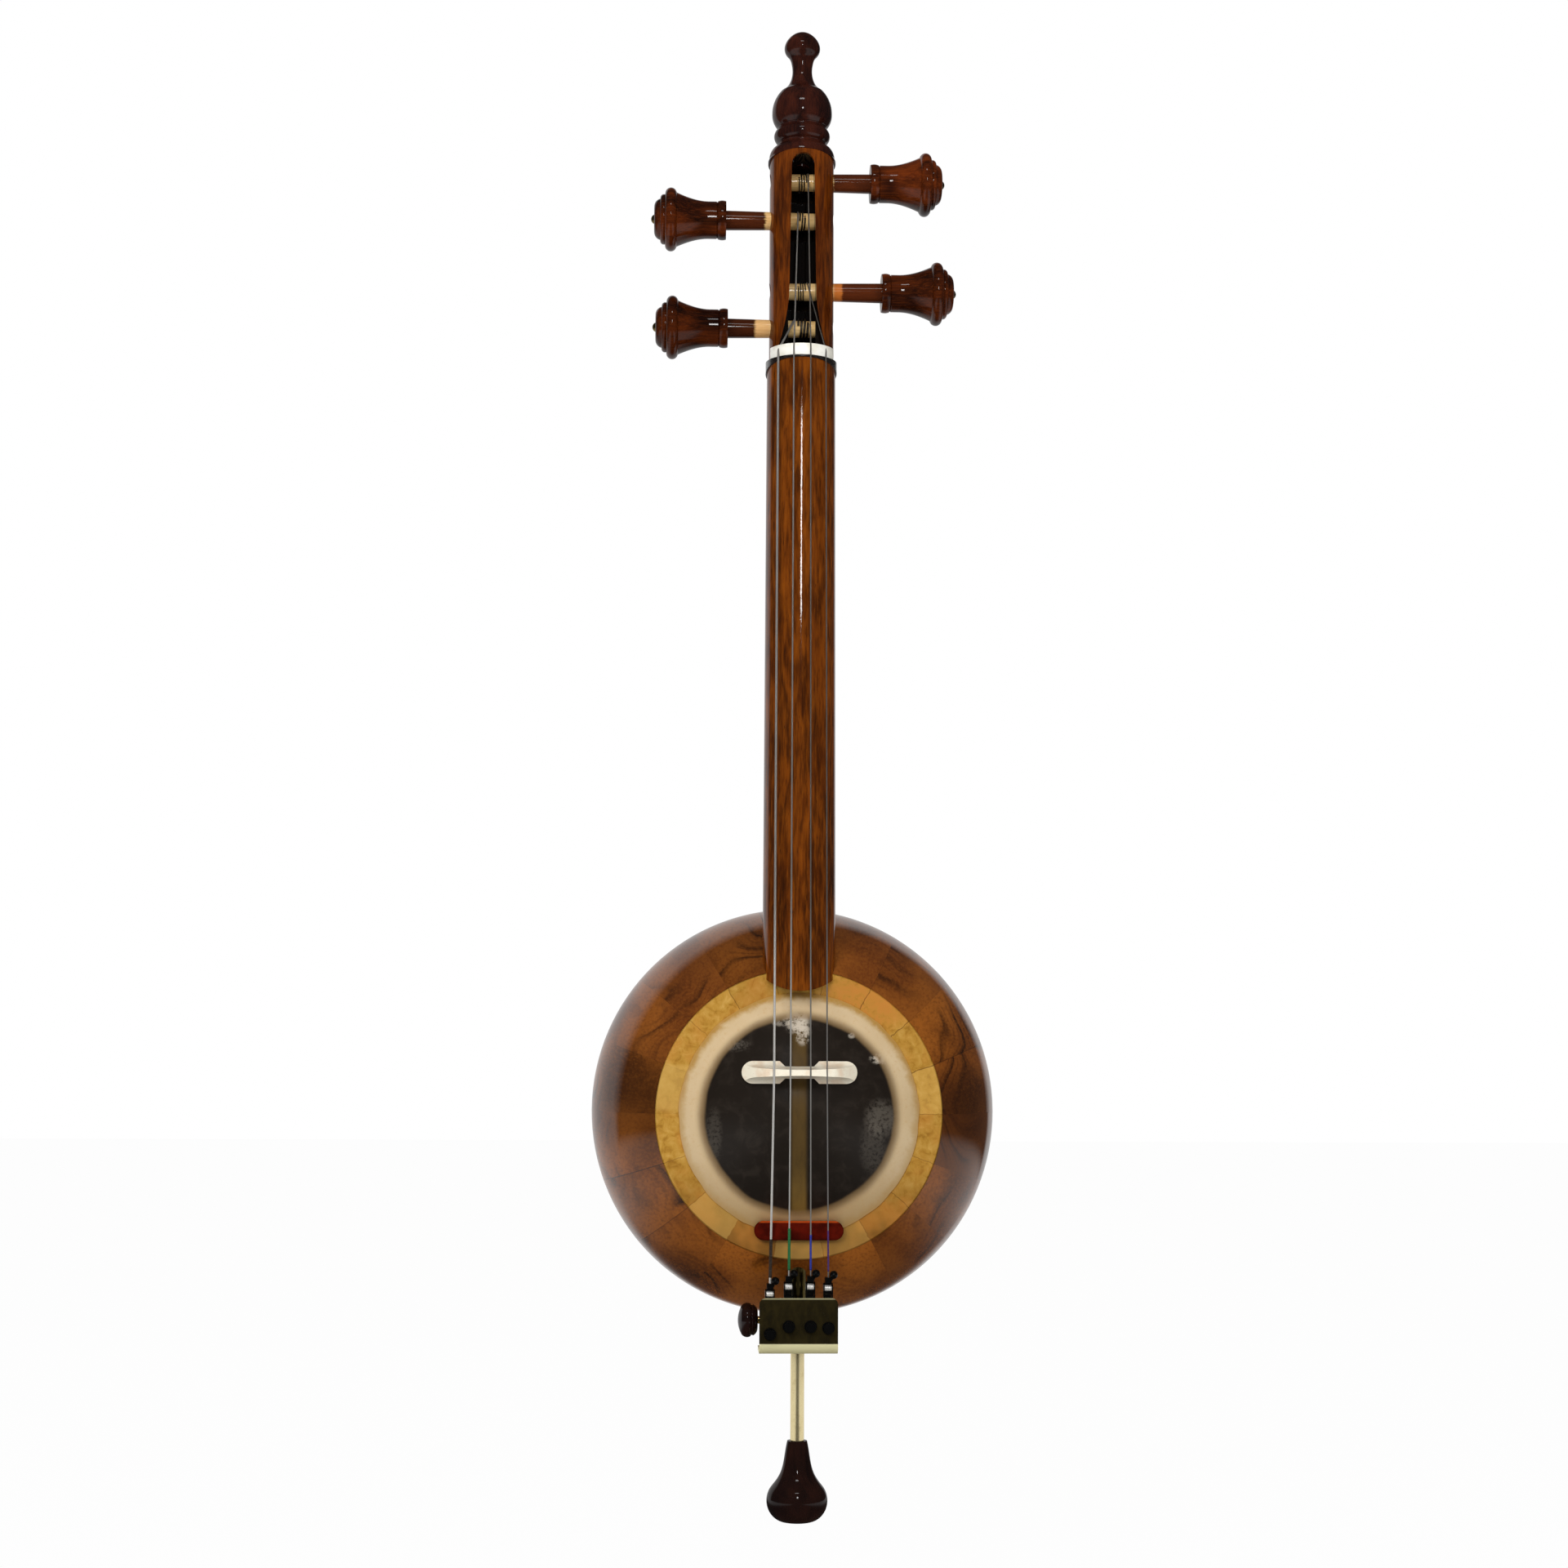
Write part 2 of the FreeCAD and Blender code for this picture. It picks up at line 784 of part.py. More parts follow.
def winding(index):
    lead, edges, start, way, angle = winding_edges(index)
    first_way = winding_way(index, touch_angle(index))
    whole = edges + winding_end_edges(index)
    radius = string_radius[index]
    body = tube_along(whole, radius, lead, first_way)
    length = sum(edge.Length for edge in whole)
    print("winding", index + 1, "length", round(length, 1), "gap to itself",
          round(least_gap(whole, radius), 3), "volume ratio",
          round(body.Volume / (math.pi * radius ** 2 * length), 4))
    return body


# Strings

def standing_place(index):
    # where the standing string lies on its peg, just outside the first turn
    way = -1 if winding_start[index] > 0 else 1
    return winding_start[index] - way * (2 * string_radius[index] + standing_gap)


def touch_place(index):
    # the standing string comes in aslant and swings over to that place as it bends round the peg
    nut_spot = nut_point(index)
    run = math.hypot(nut_spot.y, peg_height[index] - nut_spot.z)
    swing = winding_radius(index) * math.radians(standing_wrap) / 4
    return (standing_place(index) * run + nut_spot.x * swing) / (run + swing)


def string_points(index):
    tail = V(tuner_x[index], string_at_tail, string_end_height - tuner_drop[index])
    across = string_at_bridge[index]
    sag = bridge_crown_curve - math.sqrt(bridge_crown_curve ** 2 - across ** 2)
    bridge_spot = V(across, bridge_front + sag, bridge_height)
    touch = round_peg(index, touch_angle(index), touch_place(index))
    return [tail, bridge_spot, nut_point(index), touch]


def string_tube(index, gap):
    points = string_points(index)
    edges = run_and_arc_edges(points, [bridge_bend, nut_bend])
    return tube_along(edges, string_radius[index] + gap, points[0], points[1] - points[0])


def string(index):
    points = string_points(index)
    edges = run_and_arc_edges(points, [bridge_bend, nut_bend])
    start = points[3]
    way = (points[3] - points[2]).normalize()
    parts = 2
    turn = math.radians(standing_wrap) / parts
    angle = touch_angle(index)
    for part in range(parts):
        angle += turn
        end = round_peg(index, angle, standing_place(index))
        end_way = V(0, math.sin(angle), math.cos(angle))
        edges.extend(biarc(start, way, end, end_way))
        start = end
        way = end_way
    return tube_along(edges, string_radius[index], points[0], points[1] - points[0])


# Bridge and pad

def bridge_view(across, rise):
    return V(across, skin_front - rise, bridge_height)


def bridge_crown_at(across):
    return bridge_crown - bridge_crown_curve + math.sqrt(bridge_crown_curve ** 2 - across ** 2)


def bridge_elevation():
    half = bridge_width / 2
    arch = bridge_arch_width / 2
    shoulder = bridge_crown_at(bridge_shoulder)
    reach = half - bridge_shoulder
    outline = Outline(-half, 0, bridge_view)
    outline.line(-half, bridge_foot_rise)
    outline.curve([(-half + reach * 0.25, bridge_foot_rise + (shoulder - bridge_foot_rise) * 0.28),
                   (-half + reach * 0.68, bridge_foot_rise + (shoulder - bridge_foot_rise) * 0.76),
                   (-bridge_shoulder, shoulder)])
    outline.arc(0, bridge_crown, bridge_shoulder, shoulder)
    outline.curve([(half - reach * 0.68, bridge_foot_rise + (shoulder - bridge_foot_rise) * 0.76),
                   (half - reach * 0.25, bridge_foot_rise + (shoulder - bridge_foot_rise) * 0.28),
                   (half, bridge_foot_rise)])
    outline.line(half, 0)
    outline.line(arch, 0)
    outline.arc(0, bridge_arch_rise, -arch, 0)
    face = outline.face()
    face.translate(V(0, 0, -bridge_foot_depth))
    return face.extrude(V(0, 0, 2 * bridge_foot_depth))


def bridge_section():
    def place(depth, rise):
        return V(0, skin_front - rise, bridge_height + depth)
    foot = bridge_foot_depth / 2
    waist = bridge_waist_depth / 2
    top = bridge_top_depth / 2
    outline = Outline(-foot, 0, place).line(foot, 0).line(foot, bridge_foot_rise)
    outline.curve([(waist + (foot - waist) * 0.25, bridge_arch_rise * 0.78),
                   (waist - (waist - top) * 0.35, bridge_arch_rise + 2.5),
                   (top, bridge_crown)])
    outline.line(-top, bridge_crown)
    outline.curve([(-waist + (waist - top) * 0.35, bridge_arch_rise + 2.5),
                   (-waist - (foot - waist) * 0.25, bridge_arch_rise * 0.78),
                   (-foot, bridge_foot_rise)])
    return side_prism(outline.face(), 0, 2 * bridge_width)


def bridge_plan():
    half = bridge_width / 2
    foot = bridge_foot_depth / 2
    waist = bridge_waist_depth / 2
    arch = bridge_arch_width / 2
    slant = foot - waist
    outline = Outline(half - foot, foot, in_front_view)
    outline.arc(half, 0, half - foot, -foot)
    outline.line(arch + slant, -foot).line(arch, -waist).line(-arch, -waist).line(-arch - slant, -foot)
    outline.line(foot - half, -foot)
    outline.arc(-half, 0, foot - half, foot)
    outline.line(-arch - slant, foot).line(-arch, waist).line(arch, waist).line(arch + slant, foot)
    face = outline.face()
    face.translate(V(0, 0, bridge_height))
    return front_prism(face, skin_front - 2 * bridge_crown, skin_front)


def bridge():
    body = bridge_elevation().common(bridge_section()).common(bridge_plan())
    for index in range(string_count):
        body = body.cut(string_tube(index, running_gap))
    return body


def string_rest_pad():
    half = pad_width / 2 - pad_depth / 2
    outline = Outline(-half, pad_depth / 2, in_front_view)
    outline.line(half, pad_depth / 2)
    outline.arc(half + pad_depth / 2, 0, half, -pad_depth / 2)
    outline.line(-half, -pad_depth / 2)
    outline.arc(-half - pad_depth / 2, 0, -half, pad_depth / 2)
    face = outline.face()
    face.translate(V(0, 0, pad_height))
    front = skin_front - pad_thickness
    body = front_prism(face, front, skin_front)
    rim = [edge for edge in body.Edges if edge.BoundBox.YMax < front + 0.01]
    return body.makeFillet(pad_thickness * 0.3, rim)


# Tail

def tail_plate():
    outer = plate_bend_radius
    inner = plate_bend_radius - plate_sheet
    bend_y = plate_front + outer
    bend_z = plate_bottom + outer
    slant = math.sqrt(0.5)
    section = Outline(plate_front, plate_top, in_side_view)
    section.line(plate_front, bend_z)
    section.arc(bend_y - outer * slant, bend_z - outer * slant, bend_y, plate_bottom)
    section.line(flange_back, plate_bottom).line(flange_back, flange_top).line(bend_y, flange_top)
    section.arc(bend_y - inner * slant, bend_z - inner * slant, plate_back, bend_z)
    section.line(plate_back, plate_top)
    half = plate_width / 2
    front = Outline(-half, plate_bottom - 1, in_front_view)
    front.line(half, plate_bottom - 1).line(half, plate_top - plate_corner)
    inset = plate_corner * (1 - slant)
    front.arc(half - inset, plate_top - inset, half - plate_corner, plate_top)
    front.line(plate_corner - half, plate_top)
    front.arc(inset - half, plate_top - inset, -half, plate_top - plate_corner)
    body = side_prism(section.face(), 0, 2 * plate_width)
    body = body.common(front_prism(front.face(), plate_front - 1, flange_back + 1))
    for index in range(string_count):
        body = body.cut(tuner_rod(index, sleeve_radius, plate_front - 1, plate_back + 1))
    hole = rod(rod_radius + rod_hole_gap, V(0, 0, plate_bottom - 1), V(0, 0, flange_top + 1))
    return body.cut(hole)


def tail_block():
    half = block_width / 2
    body = box((-half, block_front, flange_top), (half, flange_back, flange_top + block_height))
    upright = [edge for edge in body.Edges if edge.BoundBox.ZLength > block_height - 0.01
               and edge.BoundBox.YMax > flange_back - 0.01]
    body = body.makeChamfer(2.0, upright)
    body = body.cut(inner_space(tube_radius))
    return body.cut(rod(screw_radius + running_gap, V(-block_width, 0, screw_height), V(0, 0, screw_height)))


def thumb_screw():
    tip = -rod_radius - 0.1
    body = rod(screw_radius, V(-knob_near - knob_length * 0.6, 0, screw_height), V(tip, 0, screw_height))
    return body


def thumb_knob():
    near = knob_near
    radius = knob_radius
    outline = Outline(0, near, in_turning).line(screw_radius * 2.0, near)
    outline.arc(radius * 0.74, near + knob_length * 0.07, radius * 0.91, near + knob_length * 0.24)
    outline.arc(radius * 0.87, near + knob_length * 0.30, radius * 0.945, near + knob_length * 0.36)
    outline.arc(radius, near + knob_length * 0.56, radius * 0.82, near + knob_length * 0.82)
    outline.dome(knob_length * 0.18)
    body = turned(outline.face())
    body.rotate(V(0, 0, 0), V(0, 1, 0), -90)
    body.translate(V(0, 0, screw_height))
    return body.cut(thumb_screw())


# Fine tuners

def tuner_rod(index, radius, front, back):
    height = tuner_screw_height - tuner_drop[index]
    return rod(radius, V(tuner_x[index], front, height), V(tuner_x[index], back, height))


def barrel_rod(index, radius, width):
    height = barrel_height - tuner_drop[index]
    middle = tuner_x[index]
    return rod(radius, V(middle - width / 2, barrel_y, height), V(middle + width / 2, barrel_y, height))


def tuner_outer_width():
    return lever_width + 2 * (side_gap + cheek_sheet)


def tuner_frame(index):
    middle = tuner_x[index]
    drop = tuner_drop[index]
    half = tuner_outer_width() / 2
    back = plate_back + tongue_sheet
    low = tuner_screw_height - drop - 1.6 * sleeve_radius
    tongue = box((middle - half, plate_back, low), (middle + half, back, plate_top + 0.8 - drop))
    cheek = Outline(plate_back, plate_top - 6.0 - drop, in_side_view)
    cheek.line(plate_back, barrel_height - drop + 1.0)
    cheek.arc(barrel_y - 1.0, barrel_height - drop + 2.0, barrel_y + 2.2, barrel_height - drop + 1.0)
    cheek.line(barrel_y + 2.2, barrel_height - drop - 3.0)
    cheek.line(back, plate_top - 6.0 - drop)
    face = cheek.face()
    body = tongue
    for side in (-1, 1):
        body = body.fuse(side_prism(face, middle + side * (half - cheek_sheet / 2), cheek_sheet))
    body = body.cut(barrel_rod(index, barrel_radius, 3 * half))
    sleeve = tuner_rod(index, sleeve_radius, plate_front - ring_nut_length, back)
    body = body.fuse(sleeve)
    return body.cut(tuner_rod(index, tuner_thread_radius + running_gap, 2 * plate_front, 0)).removeSplitter()


def tuner_pivot_pins():
    return [barrel_rod(index, barrel_radius, tuner_outer_width()) for index in range(string_count)]


def tuner_ring_nuts():
    nuts = []
    for index in range(string_count):
        nut_body = tuner_rod(index, ring_nut_radius, plate_front - ring_nut_length, plate_front)
        nuts.append(nut_body.cut(tuner_rod(index, sleeve_radius, 2 * plate_front, 0)))
    return nuts


def tuner_lever(index):
    middle = tuner_x[index]
    drop = tuner_drop[index]
    front = plate_back + tongue_sheet + 1.2
    back = front + lever_sheet
    pivot = barrel_height - drop
    tab_low = pivot + barrel_radius + 0.85
    tab_top = lever_tab_top - drop
    low = tuner_screw_height - drop - 2.1
    behind = barrel_y + barrel_radius + 1.05
    side = Outline(front, low, in_side_view)
    side.line(back, low).line(back, pivot - 3.5).line(behind, pivot - 2.2).line(behind, tab_top - 1.5)
    side.line(behind - 1.3, tab_top).line(lever_tab_front, tab_top).line(lever_tab_front, tab_low)
    side.line(barrel_y, tab_low).line(barrel_y, pivot - 2.5).line(front, pivot - 3.0)
    body = side_prism(side.face(), middle, lever_width)
    body = body.cut(barrel_rod(index, barrel_radius + running_gap, 2 * lever_width))
    tip = V(middle + horn_aside, string_at_tail - horn_forward, pivot + horn_rise)
    root = V(middle + horn_aside / 2, string_at_tail, tab_top - 1.2)
    body = body.fuse(rod(horn_radius, root, tip)).fuse(Part.makeSphere(horn_ball_radius, tip))
    points = string_points(index)
    way = (points[1] - points[0]).normalize()
    hole = rod(string_radius[index] + string_end_gap, points[0] - way * 0.3, points[0] + way * 4.0)
    return body.cut(hole).removeSplitter()


def tuner_screw(index):
    head_back = plate_front - ring_nut_length - free_gap
    head_front = head_back - tuner_head_length
    head = tuner_rod(index, tuner_head_radius, head_front, head_back)
    middle = V(tuner_x[index], 0, tuner_screw_height - tuner_drop[index])
    groove = Part.makeCylinder(0.28, tuner_head_length + 2, V(tuner_head_radius + 0.1, 0, 0), V(0, 1, 0))
    for number in range(tuner_grooves):
        cut = groove.copy()
        cut.rotate(V(0, 0, 0), V(0, 1, 0), number * 360.0 / tuner_grooves)
        cut.translate(middle + V(0, head_front - 1, 0))
        head = head.cut(cut)
    lever_front = plate_back + tongue_sheet + 1.2
    thread = tuner_rod(index, tuner_thread_radius, head_back - 0.1, lever_front - 0.05)
    return head.fuse(thread).removeSplitter()


# Every sub-part, written under its own name

def numbered(name, make):
    for index in range(string_count):
        save(name + "_" + str(index + 1), make(index))


save("spike_foot", spike_foot())
save("spike_rod", spike_rod())
save("bowl_staves", bowl_staves())
save("back_cap", back_cap())
save("mouth_rim", mouth_rim())
save("mouth_ring", mouth_ring())
save("skin", skin())
save("neck", neck())
save("inner_tube", inner_tube())
save("nut_ferrule", nut_ferrule())
save("nut", nut())
save("pegbox", pegbox())
save("finial", finial())
save("bridge", bridge())
save("string_rest_pad", string_rest_pad())
save("tail_plate", tail_plate())
save("tail_block", tail_block())
save("thumb_screw", thumb_screw())
save("thumb_knob", thumb_knob())
save("tuner_pivot_pins", tuner_pivot_pins())
save("tuner_ring_nuts", tuner_ring_nuts())
numbered("tuner_frame", tuner_frame)
numbered("tuner_lever", tuner_lever)
numbered("tuner_screw", tuner_screw)
numbered("peg", peg)
numbered("peg_button", peg_button)
numbered("winding", winding)
numbered("string", string)
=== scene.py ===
import math
import bmesh
import bpy
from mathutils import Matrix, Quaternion, Vector, noise


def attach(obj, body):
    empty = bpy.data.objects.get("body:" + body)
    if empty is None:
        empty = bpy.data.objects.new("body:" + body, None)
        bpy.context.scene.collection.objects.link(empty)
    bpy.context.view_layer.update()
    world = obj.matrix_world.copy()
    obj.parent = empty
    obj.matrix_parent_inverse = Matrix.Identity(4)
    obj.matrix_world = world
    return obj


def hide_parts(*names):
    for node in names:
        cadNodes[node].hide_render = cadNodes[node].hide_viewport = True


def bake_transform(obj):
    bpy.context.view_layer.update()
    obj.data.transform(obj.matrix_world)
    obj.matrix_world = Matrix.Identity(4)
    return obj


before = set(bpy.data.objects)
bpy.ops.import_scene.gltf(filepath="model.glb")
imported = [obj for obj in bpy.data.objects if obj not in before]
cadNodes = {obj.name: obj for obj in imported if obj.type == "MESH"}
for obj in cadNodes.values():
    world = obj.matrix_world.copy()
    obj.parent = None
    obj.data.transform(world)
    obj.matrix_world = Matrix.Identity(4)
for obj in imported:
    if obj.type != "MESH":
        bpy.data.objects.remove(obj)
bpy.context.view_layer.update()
mm = 0.001

# Places on the instrument that several looks share, in metres
bowl = {
    "height": 0.1873,     # middle of the bowl and of the skin
    "depth": 0.0651,      # how far the ball's middle lies behind the strings' plane
    "staves": 18,
    "ringInner": 0.0461,
    "ringOuter": 0.0673,
}


def seen(red, green, blue):
    # a colour as the eye reads it, 0 to 255 each, made linear for the shaders
    def level(part):
        part = part / 255
        return part / 12.92 if part <= 0.04045 else ((part + 0.055) / 1.055) ** 2.4
    return (level(red), level(green), level(blue), 1.0)


class Shade:
    # one material and short ways to add the nodes it is painted with

    def __init__(self, name):
        self.material = bpy.data.materials.new(name)
        self.material.use_nodes = True
        self.tree = self.material.node_tree
        self.shader = self.tree.nodes["Principled BSDF"]

    def put(self, kind, **settings):
        node = self.tree.nodes.new(kind)
        for name, value in settings.items():
            setattr(node, name, value)
        return node

    def feed(self, socket, value):
        if isinstance(value, bpy.types.NodeSocket):
            self.tree.links.new(value, socket)
        else:
            socket.default_value = value

    def place(self, centre=(0, 0, 0), size=(1, 1, 1), turn=(0, 0, 0)):
        # object coordinates seen from centre, where one unit is size metres
        coordinates = self.put("ShaderNodeTexCoord")
        mapping = self.put("ShaderNodeMapping", vector_type="TEXTURE")
        self.feed(mapping.inputs["Vector"], coordinates.outputs["Object"])
        self.feed(mapping.inputs["Location"], centre)
        self.feed(mapping.inputs["Rotation"], turn)
        self.feed(mapping.inputs["Scale"], size)
        return mapping.outputs["Vector"]

    def split(self, vector):
        node = self.put("ShaderNodeSeparateXYZ")
        self.feed(node.inputs[0], vector)
        return node.outputs[0], node.outputs[1], node.outputs[2]

    def join(self, x, y, z):
        node = self.put("ShaderNodeCombineXYZ")
        for socket, value in zip(node.inputs, (x, y, z)):
            self.feed(socket, value)
        return node.outputs[0]

    def math(self, operation, first, second=0.0, clamp=False):
        node = self.put("ShaderNodeMath", operation=operation, use_clamp=clamp)
        self.feed(node.inputs[0], first)
        self.feed(node.inputs[1], second)
        return node.outputs[0]

    def add(self, first, second):
        return self.math("ADD", first, second)

    def less(self, first, second):
        return self.math("SUBTRACT", first, second)

    def times(self, first, second, clamp=False):
        return self.math("MULTIPLY", first, second, clamp)

    def over(self, first, second):
        return self.math("DIVIDE", first, second)

    def wave(self, turn):
        # swings between 0 and 1
        return self.add(self.times(self.math("SINE", turn), 0.5), 0.5)

    def squares(self, across, up):
        return self.add(self.times(across, across), self.times(up, up))

    def reach(self, across, up):
        # distance from the middle
        return self.math("SQRT", self.squares(across, up))

    def spot(self, across, up, at, size):
        # 0 at the middle of a round or oval spot, 1 at its edge and more beyond
        aside = self.over(self.less(across, at[0]), size[0])
        above = self.over(self.less(up, at[1]), size[1])
        return self.squares(aside, above)

    def step(self, value, low, high, start=0.0, end=1.0):
        # runs smoothly from start to end while value runs from low to high
        node = self.put("ShaderNodeMapRange", interpolation_type="SMOOTHSTEP")
        self.feed(node.inputs["Value"], value)
        self.feed(node.inputs["From Min"], low)
        self.feed(node.inputs["From Max"], high)
        self.feed(node.inputs["To Min"], start)
        self.feed(node.inputs["To Max"], end)
        return node.outputs[0]

    def noise(self, vector, scale=1.0, detail=3.0, roughness=0.5, distortion=0.0):
        node = self.put("ShaderNodeTexNoise")
        self.feed(node.inputs["Vector"], vector)
        self.feed(node.inputs["Scale"], scale)
        self.feed(node.inputs["Detail"], detail)
        self.feed(node.inputs["Roughness"], roughness)
        self.feed(node.inputs["Distortion"], distortion)
        return node.outputs[0]

    def mix(self, factor, first, second, blend="MIX"):
        node = self.put("ShaderNodeMix", data_type="RGBA", blend_type=blend)
        self.feed(node.inputs[0], factor)
        self.feed(node.inputs[6], first)
        self.feed(node.inputs[7], second)
        return node.outputs[2]

    def chance(self, number):
        # three random values for a whole number, such as a stave's
        node = self.put("ShaderNodeTexWhiteNoise", noise_dimensions="1D")
        self.feed(node.inputs["W"], number)
        parts = self.put("ShaderNodeSeparateColor")
        self.feed(parts.inputs[0], node.outputs["Color"])
        return parts.outputs[0], parts.outputs[1], parts.outputs[2]

    def bump(self, height, depth, strength=1.0, onCoat=False):
        node = self.put("ShaderNodeBump")
        self.feed(node.inputs["Height"], height)
        self.feed(node.inputs["Distance"], depth)
        self.feed(node.inputs["Strength"], strength)
        self.feed(self.shader.inputs["Coat Normal" if onCoat else "Normal"], node.outputs[0])

    def tone(self, colour, amount):
        # darkens a colour by the same amount in red, green and blue
        return self.mix(1.0, colour, self.join(amount, amount, amount), "MULTIPLY")

    def finish(self, colour, roughness, metallic=0.0, coat=0.0, coatRoughness=0.05, gloss=0.5):
        self.feed(self.shader.inputs["Base Color"], colour)
        self.feed(self.shader.inputs["Roughness"], roughness)
        self.shader.inputs["Metallic"].default_value = metallic
        self.shader.inputs["Coat Weight"].default_value = coat
        self.shader.inputs["Coat Roughness"].default_value = coatRoughness
        self.shader.inputs["Specular IOR Level"].default_value = gloss
        return self.material


def dress(material, *names):
    for name in names:
        mesh = cadNodes[name].data
        mesh.materials.clear()
        mesh.materials.append(material)


# Varnished wood: flowing dark figure over soft patches, with fibres and pores

def woodGrain(shade, acrossA, acrossB, along, look, lean=0.0):
    # colour and relief of a board whose grain runs along; lean turns its year rings
    whole = shade.join(acrossA, acrossB, shade.over(along, look["stretch"]))
    bend = shade.noise(whole, 1 / look["bendSize"], 1.5, 0.45, 0.0)
    bend = shade.times(shade.less(bend, 0.5), look["bend"])
    sideways = shade.times(acrossA, shade.math("COSINE", lean))
    deep = shade.times(acrossB, shade.math("SINE", lean))
    across = shade.add(shade.add(sideways, deep), bend)
    turn = shade.times(across, 2 * math.pi / look["rings"])
    band = shade.math("POWER", shade.wave(turn), look["ringSharpness"])
    finer = shade.math("POWER", shade.wave(shade.times(turn, 2.63)), 6.0)
    flow = shade.step(shade.noise(whole, 0.8 / look["patch"], 2.0, 0.5, 0.2), 0.38, 0.62)
    band = shade.times(shade.add(band, shade.times(finer, 0.45)), flow)
    fibres = shade.join(acrossA, acrossB, shade.over(along, look["fibreStretch"]))
    fibre = shade.noise(fibres, 1 / look["fibre"], 3.0, 0.6, 0.0)
    pore = shade.step(shade.noise(fibres, 2.3 / look["fibre"], 2.0, 0.7, 0.0), 0.60, 0.74)
    patch = shade.step(shade.noise(whole, 1 / look["patch"], 2.0, 0.5, 0.0), 0.36, 0.64)
    deepPatch = shade.step(shade.noise(whole, 0.55 / look["patch"], 1.0, 0.5, 0.0), 0.50, 0.68)
    colour = shade.mix(patch, look["light"], look["middle"])
    colour = shade.mix(shade.times(deepPatch, look["deepStrength"]), colour, look["dark"])
    colour = shade.mix(shade.times(band, look["bandStrength"], True), colour, look["dark"])
    strength = look["fibreStrength"]
    colour = shade.mix(shade.step(fibre, 0.45, 0.75, 0.0, strength), colour, look["dark"])
    colour = shade.mix(shade.step(fibre, 0.55, 0.25, 0.0, strength * 0.6), colour, look["glow"])
    colour = shade.mix(shade.times(pore, look["poreStrength"]), colour, look["pore"])
    return colour, shade.less(fibre, pore)


walnut = {
    "light": seen(144, 82, 28),
    "middle": seen(108, 57, 18),
    "glow": seen(164, 97, 33),
    "dark": seen(42, 20, 6),
    "pore": seen(32, 15, 6),
    "rings": 0.0105,
    "ringSharpness": 4.5,
    "bandStrength": 0.78,
    "deepStrength": 0.6,
    "bend": 0.075,
    "bendSize": 0.050,
    "patch": 0.036,
    "stretch": 1.5,
    "fibre": 0.0013,
    "fibreStretch": 18.0,
    "fibreStrength": 0.36,
    "poreStrength": 0.3,
    # dark patches, the strongest at the bowl's right and left sides: across and up from the
    # bowl's middle, then how far it reaches, in metres
    "darkPatches": [(0.084, 0.004, 0.026, 0.75), (-0.074, 0.006, 0.024, 0.55),
                  (-0.030, 0.083, 0.020, 0.3), (0.050, -0.078, 0.022, 0.25)],
    "patchDark": seen(46, 22, 8),
    "purple": seen(80, 42, 20),
    "seam": seen(34, 18, 10),
    "seamWidth": 0.00034,
    "shift": 0.012,       # how far the figure moves sideways from one stave to the next
}


def staveWood():
    shade = Shade("walnutStaves")
    x, y, z = shade.split(shade.place(centre=(0, bowl["depth"], bowl["height"])))
    step = 2 * math.pi / bowl["staves"]
    angle = shade.math("ARCTAN2", x, z)
    number = shade.math("ROUND", shade.over(angle, step))
    offset = shade.less(angle, shade.times(number, step))
    out = shade.reach(x, z)
    stave = shade.math("FLOORED_MODULO", number, float(bowl["staves"]))
    first, second, third = shade.chance(shade.add(stave, 0.5))
    # neighbouring staves are cut from one board, so the figure only shifts a little at a seam
    side = shade.add(x, shade.times(first, walnut["shift"]))
    rise = shade.add(z, shade.times(second, walnut["shift"]))
    along = shade.add(y, shade.times(third, 0.02))
    lean = shade.add(shade.times(angle, -1.0), 1.2)
    colour, relief = woodGrain(shade, side, rise, along, walnut, lean)
    for spotX, spotZ, reach, depth in walnut["darkPatches"]:
        apart = shade.spot(side, rise, (spotX, spotZ), (reach, reach))
        near = shade.step(shade.add(apart, shade.times(relief, 0.5)), 2.0, 0.1, 0.0, depth)
        colour = shade.mix(near, colour, walnut["patchDark"])
    colour = shade.tone(colour, shade.add(shade.times(third, 0.22), 0.86))
    purple = shade.times(shade.step(first, 0.5, 0.9), 0.30)
    colour = shade.mix(purple, colour, walnut["purple"])
    edge = shade.times(shade.less(step / 2, shade.math("ABSOLUTE", offset)), out)
    joint = shade.math("ROUND", shade.add(shade.over(angle, step), 0.5))
    joint = shade.math("FLOORED_MODULO", joint, float(bowl["staves"]))
    opened = shade.chance(shade.add(joint, 40.5))[0]
    seam = shade.step(edge, walnut["seamWidth"], 0.00006)
    seam = shade.times(seam, shade.step(opened, 0.60, 0.95, 0.12, 0.8))
    colour = shade.mix(seam, colour, walnut["seam"])
    shade.bump(shade.less(shade.times(relief, 0.12), seam), 0.00010, 0.4)
    roughness = shade.step(relief, 0.2, 0.8, 0.40, 0.52)
    return shade.finish(colour, roughness, coat=0.6, coatRoughness=0.035, gloss=0.0)


neckLook = dict(walnut)
neckLook.update({
    "light": seen(112, 55, 9),
    "middle": seen(84, 38, 5),
    "glow": seen(140, 74, 15),
    "dark": seen(40, 17, 4),
    "pore": seen(24, 11, 5),
    "rings": 0.0062,
    "ringSharpness": 2.0,
    "bandStrength": 0.5,
    "deepStrength": 0.4,
    "bend": 0.020,
    "bendSize": 0.014,
    "patch": 0.010,
    "stretch": 3.0,
    "fibre": 0.0014,
    "fibreStretch": 9.0,
    "fibreStrength": 0.75,
    "poreStrength": 0.7,
})


